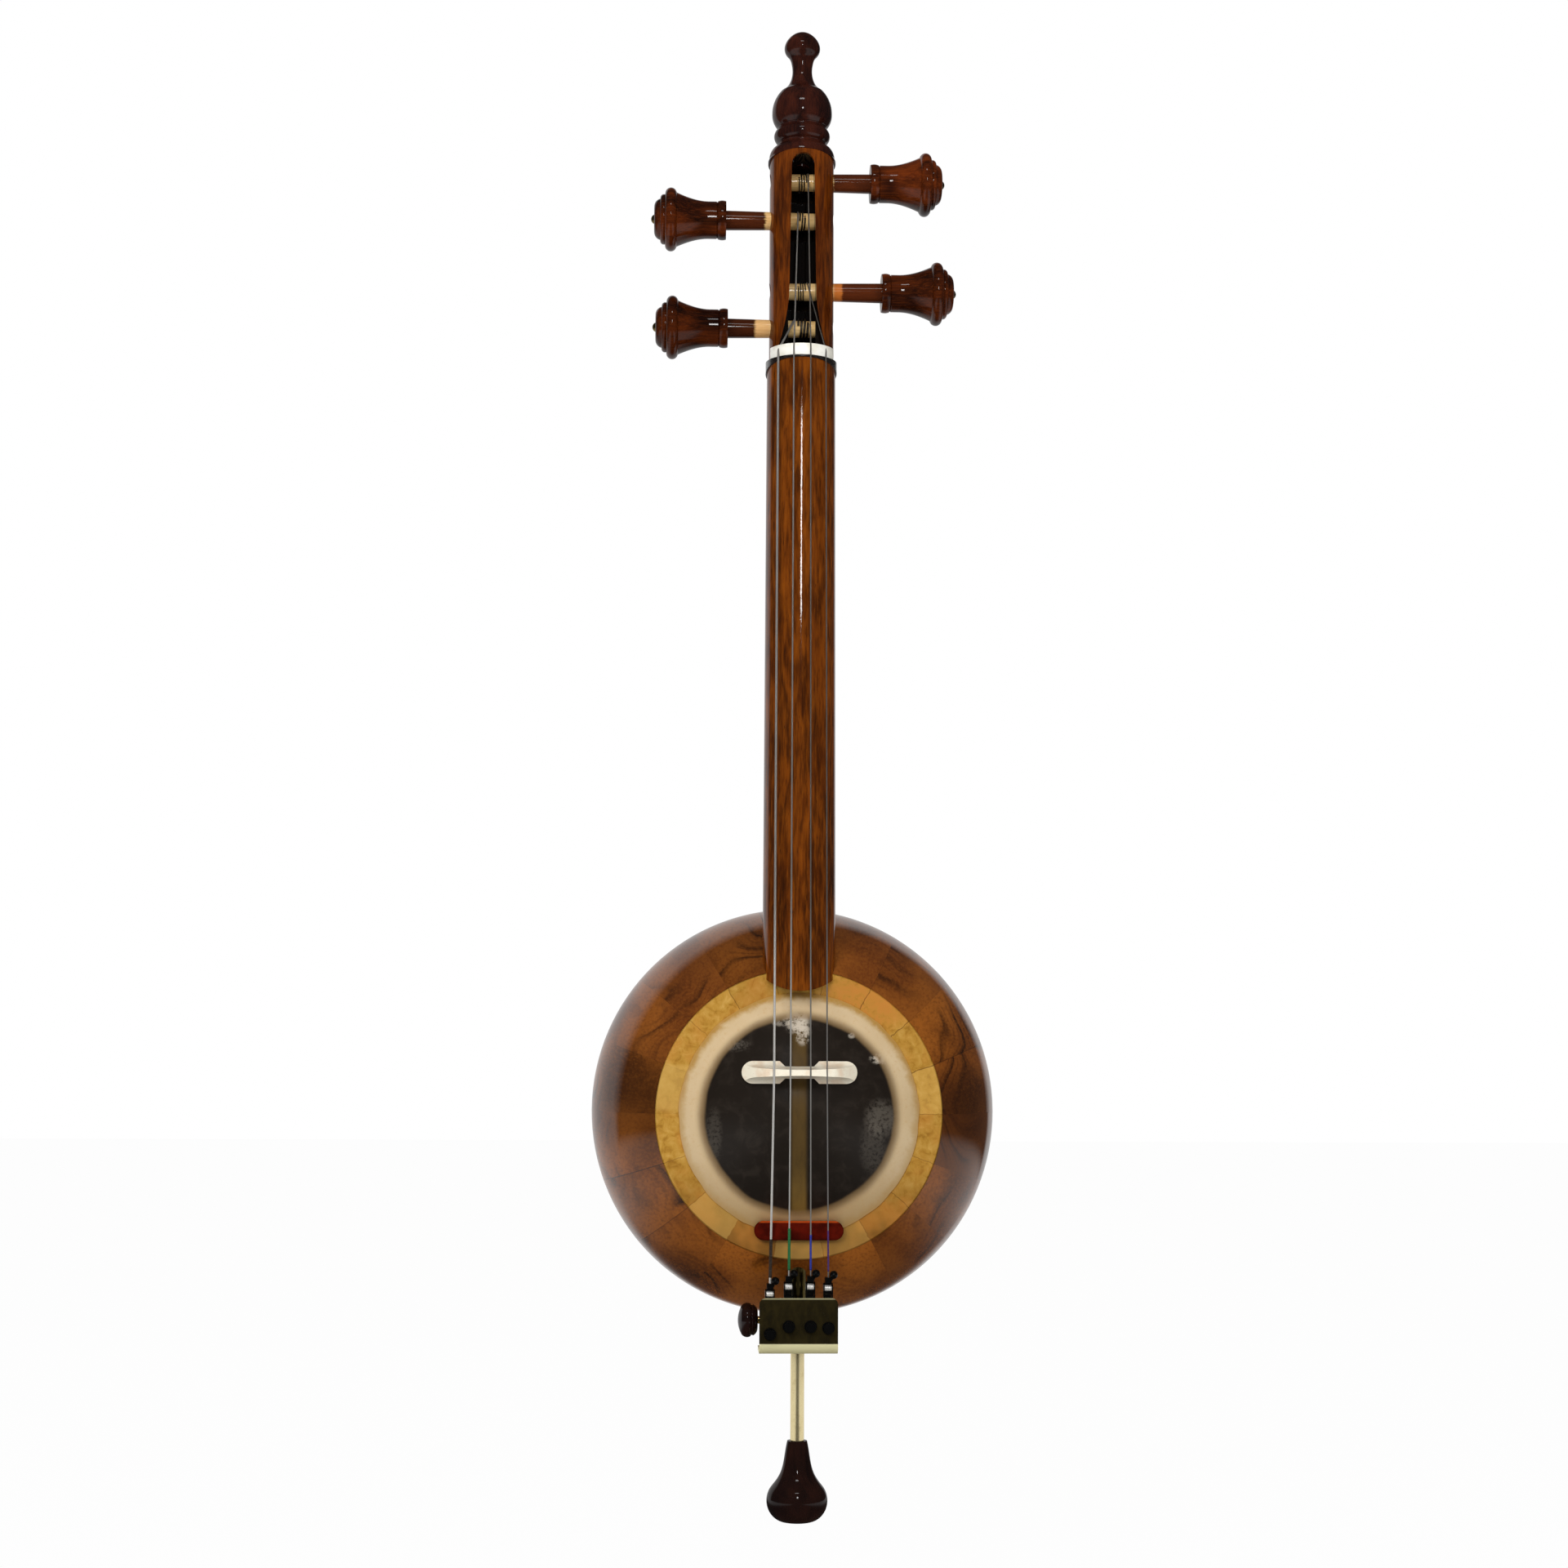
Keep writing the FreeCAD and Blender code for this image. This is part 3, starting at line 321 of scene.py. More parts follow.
def neckWood():
    shade = Shade("neckWalnut")
    x, y, z = shade.split(shade.place())
    colour, relief = woodGrain(shade, x, y, z, neckLook, 0.35)
    shade.bump(relief, 0.00008, 0.3)
    ripple = shade.noise(shade.place(size=(1, 1, 2)), 620.0, 2.0, 0.6)
    shade.bump(ripple, 0.00008, 0.25, onCoat=True)
    roughness = shade.step(relief, 0.2, 0.8, 0.36, 0.48)
    return shade.finish(colour, roughness, coat=0.65, coatRoughness=0.05, gloss=0.0)


pegboxLook = dict(neckLook)
pegboxLook.update({
    "light": seen(106, 50, 10),
    "middle": seen(76, 32, 6),
    "glow": seen(126, 62, 12),
    "dark": seen(40, 16, 5),
    # painted shade for the inside of the slot
    "inside": seen(16, 10, 8),
    "insideWall": 0.0146,      # nearer the middle than this, the slot's inside is painted dark as shade
})


def pegboxWood():
    shade = Shade("pegboxWalnut")
    x, y, z = shade.split(shade.place())
    colour, relief = woodGrain(shade, shade.add(x, 0.31), y, z, pegboxLook, 0.35)
    out = shade.reach(x, y)
    wall = pegboxLook["insideWall"]
    # painted shade: the inside of the slot is darkened, where little light reaches
    inner = shade.step(out, wall, wall - 0.0006)
    colour = shade.mix(inner, colour, pegboxLook["inside"])
    shade.bump(relief, 0.00008, 0.3)
    roughness = shade.step(inner, 0.0, 1.0, 0.4, 0.8)
    return shade.finish(colour, roughness, coat=0.65, coatRoughness=0.05, gloss=0.0)


# Red-brown turned wood of the finial, pegs, knob and foot

rosewood = dict(neckLook)
rosewood.update({
    "light": seen(92, 38, 11),
    "middle": seen(40, 14, 6),
    "glow": seen(132, 62, 18),
    "dark": seen(16, 7, 5),
    "pore": seen(12, 5, 4),
    "rings": 0.0075,
    "ringSharpness": 2.0,
    "bandStrength": 0.6,
    "deepStrength": 0.6,
    "bend": 0.016,
    "bendSize": 0.020,
    "patch": 0.014,
    "stretch": 1.6,
    "fibre": 0.0008,
    "fibreStretch": 14.0,
    "fibreStrength": 0.35,
    "poreStrength": 0.3,
})
finialWood = dict(rosewood)
finialWood.update({
    "light": seen(60, 26, 17),
    "middle": seen(32, 14, 12),
    "glow": seen(84, 38, 20),
    "dark": seen(13, 7, 7),
})
footWood = dict(rosewood)
footWood.update({
    "light": seen(36, 18, 13),
    "middle": seen(23, 12, 10),
    "glow": seen(48, 24, 15),
    "dark": seen(12, 7, 7),
    "pore": seen(9, 6, 5),
    "fibreStrength": 0.15,
    "poreStrength": 0.1,
})
shaftWood = dict(rosewood)
shaftWood.update({
    "light": seen(222, 188, 130),
    "middle": seen(206, 166, 106),
    "glow": seen(232, 202, 150),
    "dark": seen(172, 128, 74),
    "pore": seen(140, 98, 54),
    "bandStrength": 0.3,
    "deepStrength": 0.2,
})


def turnedWood(name, look, axis="z", shift=0.0, coat=0.5):
    shade = Shade(name)
    x, y, z = shade.split(shade.place())
    if axis == "x":
        x, y, z = y, z, x
    colour, relief = woodGrain(shade, shade.add(x, shift), y, shade.add(z, shift), look, 0.8)
    shade.bump(relief, 0.00005, 0.25)
    roughness = shade.step(relief, 0.2, 0.8, 0.3, 0.42)
    return shade.finish(colour, roughness, coat=coat, coatRoughness=0.06, gloss=0.0)


# one value for each peg; lengths are from the middle of the pegbox
pegs = {
    "stainStart": [0.0225, 0.0178, 0.0150, 0.0195],    # where the bare shaft turns dark
    "stainBlur": 0.0008,
    "shaftEnd": [0.0357, 0.0368, 0.0333, 0.0388],      # where the head begins
    "warmth": [0.35, 0.1, 0.0, 1.0],                   # how orange the bare wood is
    "tone": [0.6, 0.8, 1.0, 0.85],                     # how light each peg's stain came out
    "bareOrange": seen(170, 96, 40),
    "darkShaft": seen(76, 36, 18),
}


def pegWood(index):
    shade = Shade("pegWood" + str(index + 1))
    x, y, z = shade.split(shade.place())
    shift = 0.13 * (index + 1)
    away = shade.math("ABSOLUTE", x)
    dark, relief = woodGrain(shade, shade.add(y, shift), z, x, rosewood, 0.8)
    bare = woodGrain(shade, shade.add(y, shift), z, x, shaftWood, 0.8)[0]
    orange = shade.step(away, 0.0135, 0.0165, 0.0, pegs["warmth"][index])
    bare = shade.mix(orange, bare, pegs["bareOrange"])
    ragged = shade.noise(shade.join(shade.times(x, 0.3), y, z), 900.0, 2.0)
    ragged = shade.times(shade.less(ragged, 0.5), 0.003)
    start = pegs["stainStart"][index]
    blur = pegs["stainBlur"]
    stain = shade.step(shade.add(away, ragged), start - blur, start + blur)
    head = pegs["shaftEnd"][index]
    dark = shade.mix(shade.step(away, head - 0.0004, head, 0.55, 0.0), dark, pegs["darkShaft"])
    tone = pegs["tone"][index]
    dark = shade.mix(1.0, dark, (tone, tone, tone, 1.0), "MULTIPLY")
    shade.bump(relief, 0.00005, 0.25)
    colour = shade.mix(stain, bare, dark)
    roughness = shade.step(stain, 0.0, 1.0, 0.5, 0.32)
    return shade.finish(colour, roughness, coat=0.45, coatRoughness=0.06, gloss=0.0)


# Bone plates of the mouth ring, yellowed under varnish

ring = {
    "gold": seen(170, 126, 48),
    "deep": seen(138, 94, 28),
    "pale": seen(200, 160, 84),
    "orange": seen(182, 118, 48),
    "seam": seen(96, 62, 22),
    "shade": seen(108, 70, 24),       # painted shade: the lower part of the ring is darker, as if lit from above
    "mottle": 0.0042,
    "tornAt": (0.031, 0.052),         # a torn orange place, from the ring's middle
    "tornSize": (0.022, 0.014),
    "seamWidth": 0.00032,
}


def ringBone():
    shade = Shade("mouthRingBone")
    middle = shade.place(centre=(0, 0, bowl["height"]))
    x, y, z = shade.split(middle)
    step = 2 * math.pi / bowl["staves"]
    angle = shade.math("ARCTAN2", x, z)
    wander = shade.noise(middle, 420.0, 1.0)
    out = shade.reach(x, z)
    wavy = shade.add(angle, shade.times(shade.less(wander, 0.5), 0.02))
    number = shade.math("ROUND", shade.over(wavy, step))
    offset = shade.less(wavy, shade.times(number, step))
    plate = shade.math("FLOORED_MODULO", number, float(bowl["staves"]))
    first, second, third = shade.chance(shade.add(plate, 7.5))
    mottle = shade.noise(middle, 1 / ring["mottle"], 5.0, 0.62, 0.5)
    cloud = shade.noise(middle, 70.0, 2.0)
    colour = shade.mix(shade.step(mottle, 0.44, 0.80, 0.0, 0.7), ring["gold"], ring["pale"])
    colour = shade.mix(shade.step(mottle, 0.50, 0.30, 0.0, 0.8), colour, ring["deep"])
    # painted shade: darker towards the bottom of the ring
    colour = shade.mix(shade.step(z, -0.015, -0.062, 0.0, 0.95), colour, ring["shade"])
    colour = shade.mix(shade.step(cloud, 0.45, 0.7, 0.0, 0.45), colour, ring["orange"])
    torn = shade.spot(x, z, ring["tornAt"], ring["tornSize"])
    torn = shade.times(shade.step(torn, 1.6, 0.2), shade.step(mottle, 0.40, 0.60, 0.35, 0.9))
    colour = shade.mix(torn, colour, ring["orange"])
    # one plate at the left is paler than its neighbours
    leftUp = shade.times(shade.step(x, -0.040, -0.046), shade.step(z, 0.0, 0.003))
    leftUp = shade.times(leftUp, shade.step(z, 0.0235, 0.0215))
    colour = shade.mix(shade.times(leftUp, 0.5), colour, ring["pale"])
    pale = shade.step(first, 0.72, 0.95, 0.0, 0.35)
    colour = shade.mix(pale, colour, ring["pale"])
    colour = shade.tone(colour, shade.add(shade.times(second, 0.12), 0.90))
    edge = shade.times(shade.less(step / 2, shade.math("ABSOLUTE", offset)), out)
    seam = shade.step(edge, ring["seamWidth"], 0.00005)
    seam = shade.times(seam, shade.step(third, 0.3, 0.9, 0.12, 0.8))
    colour = shade.mix(seam, colour, ring["seam"])
    shade.bump(shade.less(shade.times(mottle, 0.4), seam), 0.00015, 0.5)
    roughness = shade.step(mottle, 0.3, 0.7, 0.34, 0.5)
    return shade.finish(colour, roughness, coat=0.3, coatRoughness=0.12, gloss=0.1)


# Skin: glued on the ring's inner half, see-through over the bowl, whose dark unlit hollow is
# painted on as shade

skin = {
    "radius": 0.0562,
    "front": -0.0080,
    "back": -0.0075,
    "ragged": 0.0007,
    "cream": seen(212, 188, 150),
    "creamDull": seen(204, 178, 138),
    "creamLow": seen(168, 132, 80),
    "edge": seen(190, 140, 80),
    "rimTan": seen(128, 100, 64),
    # painted shade of the bowl's unlit hollow behind the skin
    "dark": seen(31, 25, 20),
    "cloud": seen(48, 41, 35),
    "tube": seen(82, 62, 28),
    "tubeGold": seen(116, 90, 42),
    "white": seen(206, 194, 176),
    "openingRadius": 0.0452,
    # pale flakes and dust: place from the skin's middle, half size, strength, and the level of
    # noise that shows as a fleck
    "spots": [
        {"at": (-0.0010, 0.0435), "size": (0.0055, 0.0060), "strength": 0.9, "low": 0.40},
        {"at": (0.0015, 0.0375), "size": (0.0036, 0.0052), "strength": 0.75, "low": 0.47},
        {"at": (-0.0080, 0.0425), "size": (0.0050, 0.0018), "strength": 0.35, "low": 0.46},
        {"at": (0.0385, 0.0258), "size": (0.0050, 0.0026), "strength": 0.85, "low": 0.44},
        {"at": (0.0245, 0.0366), "size": (0.0016, 0.0014), "strength": 0.5, "low": 0.38},
        {"at": (0.0385, -0.0020), "size": (0.0075, 0.0085), "strength": 0.11, "low": 0.42},
        {"at": (0.0345, -0.0160), "size": (0.0060, 0.0110), "strength": 0.05, "low": 0.42},
        {"at": (-0.0310, 0.0320), "size": (0.0080, 0.0030), "strength": 0.10, "low": 0.46},
        {"at": (-0.0400, -0.0100), "size": (0.0040, 0.0120), "strength": 0.05, "low": 0.42},
    ],
    "sides": 160,
    "insets": [0.0005, 0.0030, 0.0050, 0.0100, 0.0150, 0.0120],
}


def skinPaint():
    shade = Shade("stretchedSkin")
    middle = shade.place(centre=(0, 0, bowl["height"]))
    x, y, z = shade.split(middle)
    out = shade.reach(x, z)
    soft = shade.noise(middle, 55.0, 2.0)
    fine = shade.noise(middle, 700.0, 3.0, 0.6)
    wave = shade.times(shade.less(soft, 0.5), 0.0022)
    reach = shade.add(out, wave)
    opening = skin["openingRadius"]
    glued = shade.step(reach, opening - 0.0016, opening + 0.0030)
    tan = shade.step(reach, opening - 0.0018, opening)
    tan = shade.times(tan, shade.step(reach, opening + 0.0044, opening))
    cream = shade.mix(shade.step(soft, 0.25, 0.75), skin["cream"], skin["creamDull"])
    cream = shade.mix(shade.step(z, -0.015, -0.056, 0.0, 0.7), cream, skin["creamLow"])
    cream = shade.mix(shade.step(fine, 0.5, 0.8, 0.0, 0.25), cream, skin["edge"])
    cloudy = shade.noise(middle, 130.0, 5.0, 0.65, 0.5)
    drawn = shade.place(centre=(0, 0, bowl["height"]), size=(0.5, 1, 1.6))
    fibrous = shade.noise(drawn, 160.0, 4.0, 0.7)
    flaky = shade.noise(middle, 430.0, 7.0, 0.72, 0.0)
    dusty = shade.noise(middle, 600.0, 6.0, 0.75, 0.3)
    # painted shade: the bowl's unlit hollow showing dark through the skin
    inside = shade.mix(shade.step(cloudy, 0.45, 0.72, 0.0, 0.6), skin["dark"], skin["cloud"])
    aside = shade.math("ABSOLUTE", shade.add(x, shade.times(wave, 0.15)))
    band = shade.step(aside, 0.0047, 0.0022, 0.0, 1.0)
    band = shade.times(band, shade.step(fibrous, 0.2, 0.6, 0.7, 1.0))
    tube = shade.mix(shade.step(z, -0.020, -0.044), skin["tube"], skin["tubeGold"])
    inside = shade.mix(band, inside, tube)
    for spot in skin["spots"]:
        near = shade.step(shade.spot(x, z, spot["at"], spot["size"]), 1.7, 0.1)
        grain = dusty if spot["strength"] < 0.3 else flaky
        flecks = shade.add(grain, shade.times(near, 0.06))
        flecks = shade.step(flecks, spot["low"], spot["low"] + 0.17)
        mask = shade.times(shade.times(near, flecks), spot["strength"])
        inside = shade.mix(mask, inside, skin["white"])
    colour = shade.mix(glued, inside, cream)
    colour = shade.mix(shade.times(tan, 0.55), colour, skin["rimTan"])
    ragged = shade.add(out, shade.times(shade.less(cloudy, 0.5), 0.006))
    thin = shade.step(ragged, skin["radius"] - 0.0040, skin["radius"] - 0.0004)
    thin = shade.times(thin, shade.step(z, -0.03, 0.04, 0.35, 0.9))
    colour = shade.mix(thin, colour, ring["gold"])
    rim = shade.step(out, skin["radius"] - 0.0009, skin["radius"] - 0.0002, 0.0, 0.3)
    colour = shade.mix(rim, colour, skin["edge"])
    shade.bump(shade.add(shade.times(fine, 0.3), cloudy), 0.0002, 0.25)
    roughness = shade.step(glued, 0.0, 1.0, 0.42, 0.55)
    return shade.finish(colour, roughness, coat=0.1, coatRoughness=0.3, gloss=0.15)


def newPiece(name, mesh, material, body, slotName, *standsFor):
    # puts a finished bmesh into the scene in place of its solids, on its body when that is given
    # as one name; a body given as two bodies and two points is not used, and the piece stays
    # where it was built
    data = bpy.data.meshes.new(name)
    mesh.normal_update()
    mesh.to_mesh(data)
    mesh.free()
    for polygon in data.polygons:
        polygon.use_smooth = True
    piece = bpy.data.objects.new(name, data)
    bpy.context.scene.collection.objects.link(piece)
    data.materials.append(material)
    if isinstance(body, str):
        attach(piece, body)
    else:
        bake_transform(piece)
    if standsFor:
        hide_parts(*standsFor)
    return piece


def makeSkin():
    mesh = bmesh.new()
    bmesh.ops.create_circle(mesh, cap_ends=True, radius=skin["radius"], segments=skin["sides"])
    for width in skin["insets"]:
        faces = [face for face in mesh.faces if len(face.verts) == skin["sides"]]
        bmesh.ops.inset_region(mesh, faces=faces, thickness=width, depth=0.0)
    # the edge was cut by hand
    for vert in mesh.verts:
        if vert.co.length > skin["radius"] - 0.0008:
            way = vert.co.normalized()
            wander = noise.noise(way * 6.0) + noise.noise(way * 31.0) * 0.5
            vert.co += way * wander * skin["ragged"] * 0.6
    shell = bmesh.ops.extrude_face_region(mesh, geom=list(mesh.faces))
    lifted = [part for part in shell["geom"] if isinstance(part, bmesh.types.BMVert)]
    for vert in lifted:
        vert.co.z += skin["back"] - skin["front"]
    for vert in mesh.verts:
        across, up, deep = vert.co
        vert.co = Vector((across, skin["front"] + deep, bowl["height"] + up))
    bmesh.ops.recalc_face_normals(mesh, faces=mesh.faces)
    return newPiece("skinSheet", mesh, skinPaint(), "root", "skin", "skin")


# Red pad that keeps the strings off the skin

pad = {
    "height": 0.1336,
    "width": 0.0415,
    "depth": 0.0088,
    "front": -0.0120,
    "back": -0.0080,
    "red": seen(80, 16, 7),
    # painted highlight along the pad's top edge
    "bright": seen(186, 74, 26),
    "dark": seen(54, 10, 5),
    "sides": 64,
    "wall": 0.62,              # share of the thickness below the stuffed crown
    "crown": [(0.00035, 0.36), (0.0007, 0.24), (0.0010, 0.10), (0.0012, 0.03)],
    "crownRise": 0.42,
    "dent": 0.00008,
}


def padLeather():
    shade = Shade("redPad")
    middle = shade.place(centre=(0, pad["front"], pad["height"]))
    x, y, z = shade.split(middle)
    grain = shade.noise(middle, 1500.0, 3.0, 0.6)
    patch = shade.noise(middle, 160.0, 2.0)
    colour = shade.mix(shade.step(patch, 0.35, 0.7), pad["red"], pad["dark"])
    # painted highlight: the pad's top edge is lightened as if it caught the light
    wearAndHighlight = shade.step(z, 0.0034, 0.0043, 0.0, 0.9)
    colour = shade.mix(wearAndHighlight, colour, pad["bright"])
    shade.bump(shade.add(grain, patch), 0.00012, 0.5)
    return shade.finish(colour, shade.step(grain, 0.3, 0.7, 0.5, 0.7), gloss=0.0)


def makePad():
    mesh = bmesh.new()
    half = pad["width"] / 2 - pad["depth"] / 2
    bmesh.ops.create_circle(mesh, cap_ends=True, radius=pad["depth"] / 2, segments=pad["sides"])
    for vert in mesh.verts:
        if abs(vert.co.x) > 1e-7:
            vert.co.x += half if vert.co.x > 0 else -half
    thick = pad["back"] - pad["front"]
    made = bmesh.ops.extrude_face_region(mesh, geom=list(mesh.faces))
    for part in made["geom"]:
        if isinstance(part, bmesh.types.BMVert):
            part.co.z += thick * pad["wall"]
    mesh.normal_update()
    bmesh.ops.recalc_face_normals(mesh, faces=mesh.faces)
    crown = [face for face in mesh.faces if face.normal.z > 0.9]
    for width, rise in pad["crown"]:
        depth = thick * rise * pad["crownRise"]
        bmesh.ops.inset_region(mesh, faces=crown, thickness=width, depth=depth)
    for vert in mesh.verts:
        across, up, deep = vert.co
        dent = noise.noise(Vector((across, up, deep)) * 160.0) * pad["dent"]
        dent *= deep > thick * 0.5
        out = pad["back"] - min(deep, thick) - dent
        vert.co = Vector((across, out, pad["height"] + up))
    bmesh.ops.recalc_face_normals(mesh, faces=mesh.faces)
    piece = newPiece("restPad", mesh, padLeather(), "root", "red_felt", "string_rest_pad")
    return piece


# Bone of the nut and bridge, horn of the ferrule

def boneShade(name, colour, warm):
    shade = Shade(name)
    middle = shade.place()
    grain = shade.noise(shade.place(size=(1.0, 1.0, 0.25)), 700.0, 3.0, 0.55)
    cloud = shade.noise(middle, 150.0, 2.0)
    paint = shade.mix(shade.step(cloud, 0.4, 0.7), colour, warm)
    paint = shade.mix(shade.step(grain, 0.55, 0.75, 0.0, 0.3), paint, seen(176, 150, 110))
    shade.bump(grain, 0.00004, 0.3)
    roughness = shade.step(grain, 0.3, 0.7, 0.28, 0.4)
    return shade.finish(paint, roughness, coat=0.3, coatRoughness=0.1)


def hornShade():
    shade = Shade("blackHorn")
    streak = shade.noise(shade.place(size=(1, 1, 0.1)), 300.0, 3.0)
    colour = shade.mix(shade.step(streak, 0.5, 0.8), seen(22, 18, 17), seen(46, 36, 30))
    return shade.finish(colour, shade.step(streak, 0.3, 0.7, 0.22, 0.36), coat=0.4)


# Brass of the tail, tube and spike

brass = {
    "gold": seen(226, 210, 164),
    "olive": seen(150, 134, 74),
    "tarnish": seen(84, 72, 36),
    "scratch": 0.00035,
}

tailPlate = {
    # partly tarnish and partly painted reflection: the plate is kept dark to stand for the dark
    # room it mirrors
    "olive": seen(54, 46, 23),
    "tarnish": seen(34, 29, 15),
    # painted reflection and highlight on the bend and upper edge
    "bright": seen(250, 242, 190),
    "bendTop": 0.0823,           # the bend at the plate's foot, painted bright as a reflection, reaches up to here
    "edgeTop": 0.1020,           # and the upper edge, painted with a bright highlight, starts here
}


def plateBrass():
    shade = Shade("plateBrass")
    x, y, z = shade.split(shade.place())
    stain = shade.noise(shade.place(size=(1, 1, 2)), 260.0, 4.0, 0.6, 0.2)
    scratch = shade.noise(shade.place(size=(0.2, 1, 1)), 1 / brass["scratch"], 3.0, 0.6)
    colour = shade.mix(shade.step(stain, 0.30, 0.75), tailPlate["olive"], tailPlate["tarnish"])
    bend = tailPlate["bendTop"]
    edge = tailPlate["edgeTop"]
    # painted reflection: the bend at the foot and the upper edge are lightened as if they caught
    # the light
    foot = shade.step(z, bend, bend - 0.0005)
    bright = shade.math("MAXIMUM", foot, shade.step(z, edge, edge + 0.0006, 0.0, 0.45))
    colour = shade.mix(bright, colour, tailPlate["bright"])
    shade.bump(scratch, 0.00002, 0.25)
    rough = shade.step(stain, 0.4, 0.7, 0.14, 0.3)
    rough = shade.math("MAXIMUM", rough, shade.times(bright, 0.42))
    return shade.finish(colour, rough, metallic=0.5, gloss=0.2)


def brassShade(name, gold, tarnish, amount, roughness, along=(1, 1, 0.04), metallic=1.0):
    shade = Shade(name)
    scratch = shade.noise(shade.place(size=along), 1 / brass["scratch"], 3.0, 0.6)
    stain = shade.noise(shade.place(), 130.0, 4.0, 0.6, 0.5)
    colour = shade.mix(shade.step(stain, 0.40, 0.75, 0.0, amount), gold, tarnish)
    shade.bump(scratch, 0.00002, 0.25)
    rough = shade.add(shade.step(scratch, 0.3, 0.7, roughness * 0.7, roughness * 1.3),
                       shade.step(stain, 0.5, 0.8, 0.0, 0.12))
    return shade.finish(colour, rough, metallic=metallic, gloss=0.2)


def steelShade(name, colour, roughness):
    shade = Shade(name)
    wear = shade.noise(shade.place(), 900.0, 3.0, 0.6)
    paint = shade.mix(shade.step(wear, 0.62, 0.8, 0.0, 0.6), colour, seen(120, 116, 110))
    shade.bump(wear, 0.00002, 0.2)
    rough = shade.step(wear, 0.3, 0.7, roughness * 0.8, roughness * 1.2)
    return shade.finish(paint, rough, metallic=1.0)


def pinShade():
    shade = Shade("chromePins")
    wear = shade.noise(shade.place(size=(0.2, 1, 1)), 900.0, 3.0, 0.6)
    wearAndHighlight = shade.step(wear, 0.6, 0.8, 0.0, 0.5)
    paint = shade.mix(wearAndHighlight, seen(232, 230, 226), seen(140, 136, 130))
    shade.bump(wear, 0.00002, 0.2)
    return shade.finish(paint, shade.step(wear, 0.3, 0.7, 0.22, 0.34), metallic=0.45)


def lacquerShade():
    shade = Shade("blackLacquer")
    wear = shade.noise(shade.place(), 800.0, 4.0, 0.65)
    colour = shade.mix(shade.step(wear, 0.66, 0.80, 0.0, 0.4), seen(5, 5, 5), seen(40, 35, 30))
    shade.bump(wear, 0.00003, 0.25)
    return shade.finish(colour, shade.step(wear, 0.3, 0.7, 0.28, 0.42), coat=0.1, gloss=0.15)


# Strings: bare and wound steel, with silk over their lower ends

# one value for each string, from the left; places and turns are in millimetres, like the solids'
strings = {
    "radius": [0.00055, 0.00038, 0.00035, 0.00032],
    "tail": [(-13.3, -11.0, 108.1), (-4.6, -11.0, 111.5),
             (5.5, -11.0, 111.5), (13.7, -11.0, 110.9)],
    "bridge": [(-12.3, -22.56, 206.6), (-4.8, -24.21, 206.6),
               (4.5, -24.25, 206.6), (12.2, -22.59, 206.6)],
    "nut": [(-11.6, -13.69, 549.9), (-4.3, -17.93, 549.9),
            (3.7, -18.08, 549.9), (11.2, -14.08, 549.9)],
    "pegHeight": [564.08, 617.64, 637.04, 582.59],
    "turnStart": [-1.6, -1.0, 2.0, 1.6],
    "turnRadius": [4.743, 4.563, 4.550, 4.513],
    "turnPitch": [1.55, 1.21, -1.15, -1.09],
    "turns": [3, 2, 3, 3],
    "beside": 0.15,               # gap between the standing string and the first turn
    "wrap": 165,                  # how far the standing string lies round its peg, degrees
    "wrapParts": 8,
    "turnParts": 16,
    "turnEnd": 0.72,              # how deep the last turn dips into its peg, share of the radius
    "lowStep": 0.0025,            # the lowest points lie this close, so that they can bend
    "lowParts": 8,
    "bridgeBend": 0.0025,         # how far from the bridge and the nut the bend reaches, metres
    "nutBend": 0.0012,
    "pegBend": 0.001,
    "leverEnd": 0.0005,           # the lever holds a string up to here, metres above its end
    "give": 0.0100,               # and the stretch listed with the lever reaches up to here
    "steel": [seen(206, 204, 200), seen(176, 174, 170), seen(132, 130, 126), seen(120, 118, 116)],
}
silk = {
    "radius": [0.00074, 0.00066, 0.00052, 0.00040],
    "start": 0.0043,              # how far up from the string's end the wrapping shows
    "top": [0.1300, 0.1350, 0.1320, 0.1340],
    "colour": [seen(44, 32, 22), seen(26, 98, 52), seen(34, 48, 142), seen(66, 36, 100)],
    "lay": 0.0007,
    "parts": 10,
}


def stringSteel(index):
    shade = Shade("stringSteel" + str(index + 1))
    x, y, z = shade.split(shade.place())
    lay = shade.math("SINE", shade.times(z, 2 * math.pi / 0.00045))
    spots = shade.noise(shade.place(size=(1, 1, 0.05)), 500.0, 3.0)
    spotted = shade.step(spots, 0.5, 0.8, 0.0, 0.4)
    colour = shade.mix(spotted, strings["steel"][index], seen(112, 104, 92))
    shade.bump(lay, 0.00003 if index == 0 else 0.000008, 0.3)
    # painted reflection: above the bowl the wires are darkened as if they mirrored the dark neck,
    # and over the pale skin they stay bright
    colour = shade.mix(shade.step(z, 0.24, 0.30, 0.0, 0.62), colour, seen(72, 62, 52))
    return shade.finish(colour, 0.34, metallic=0.5)


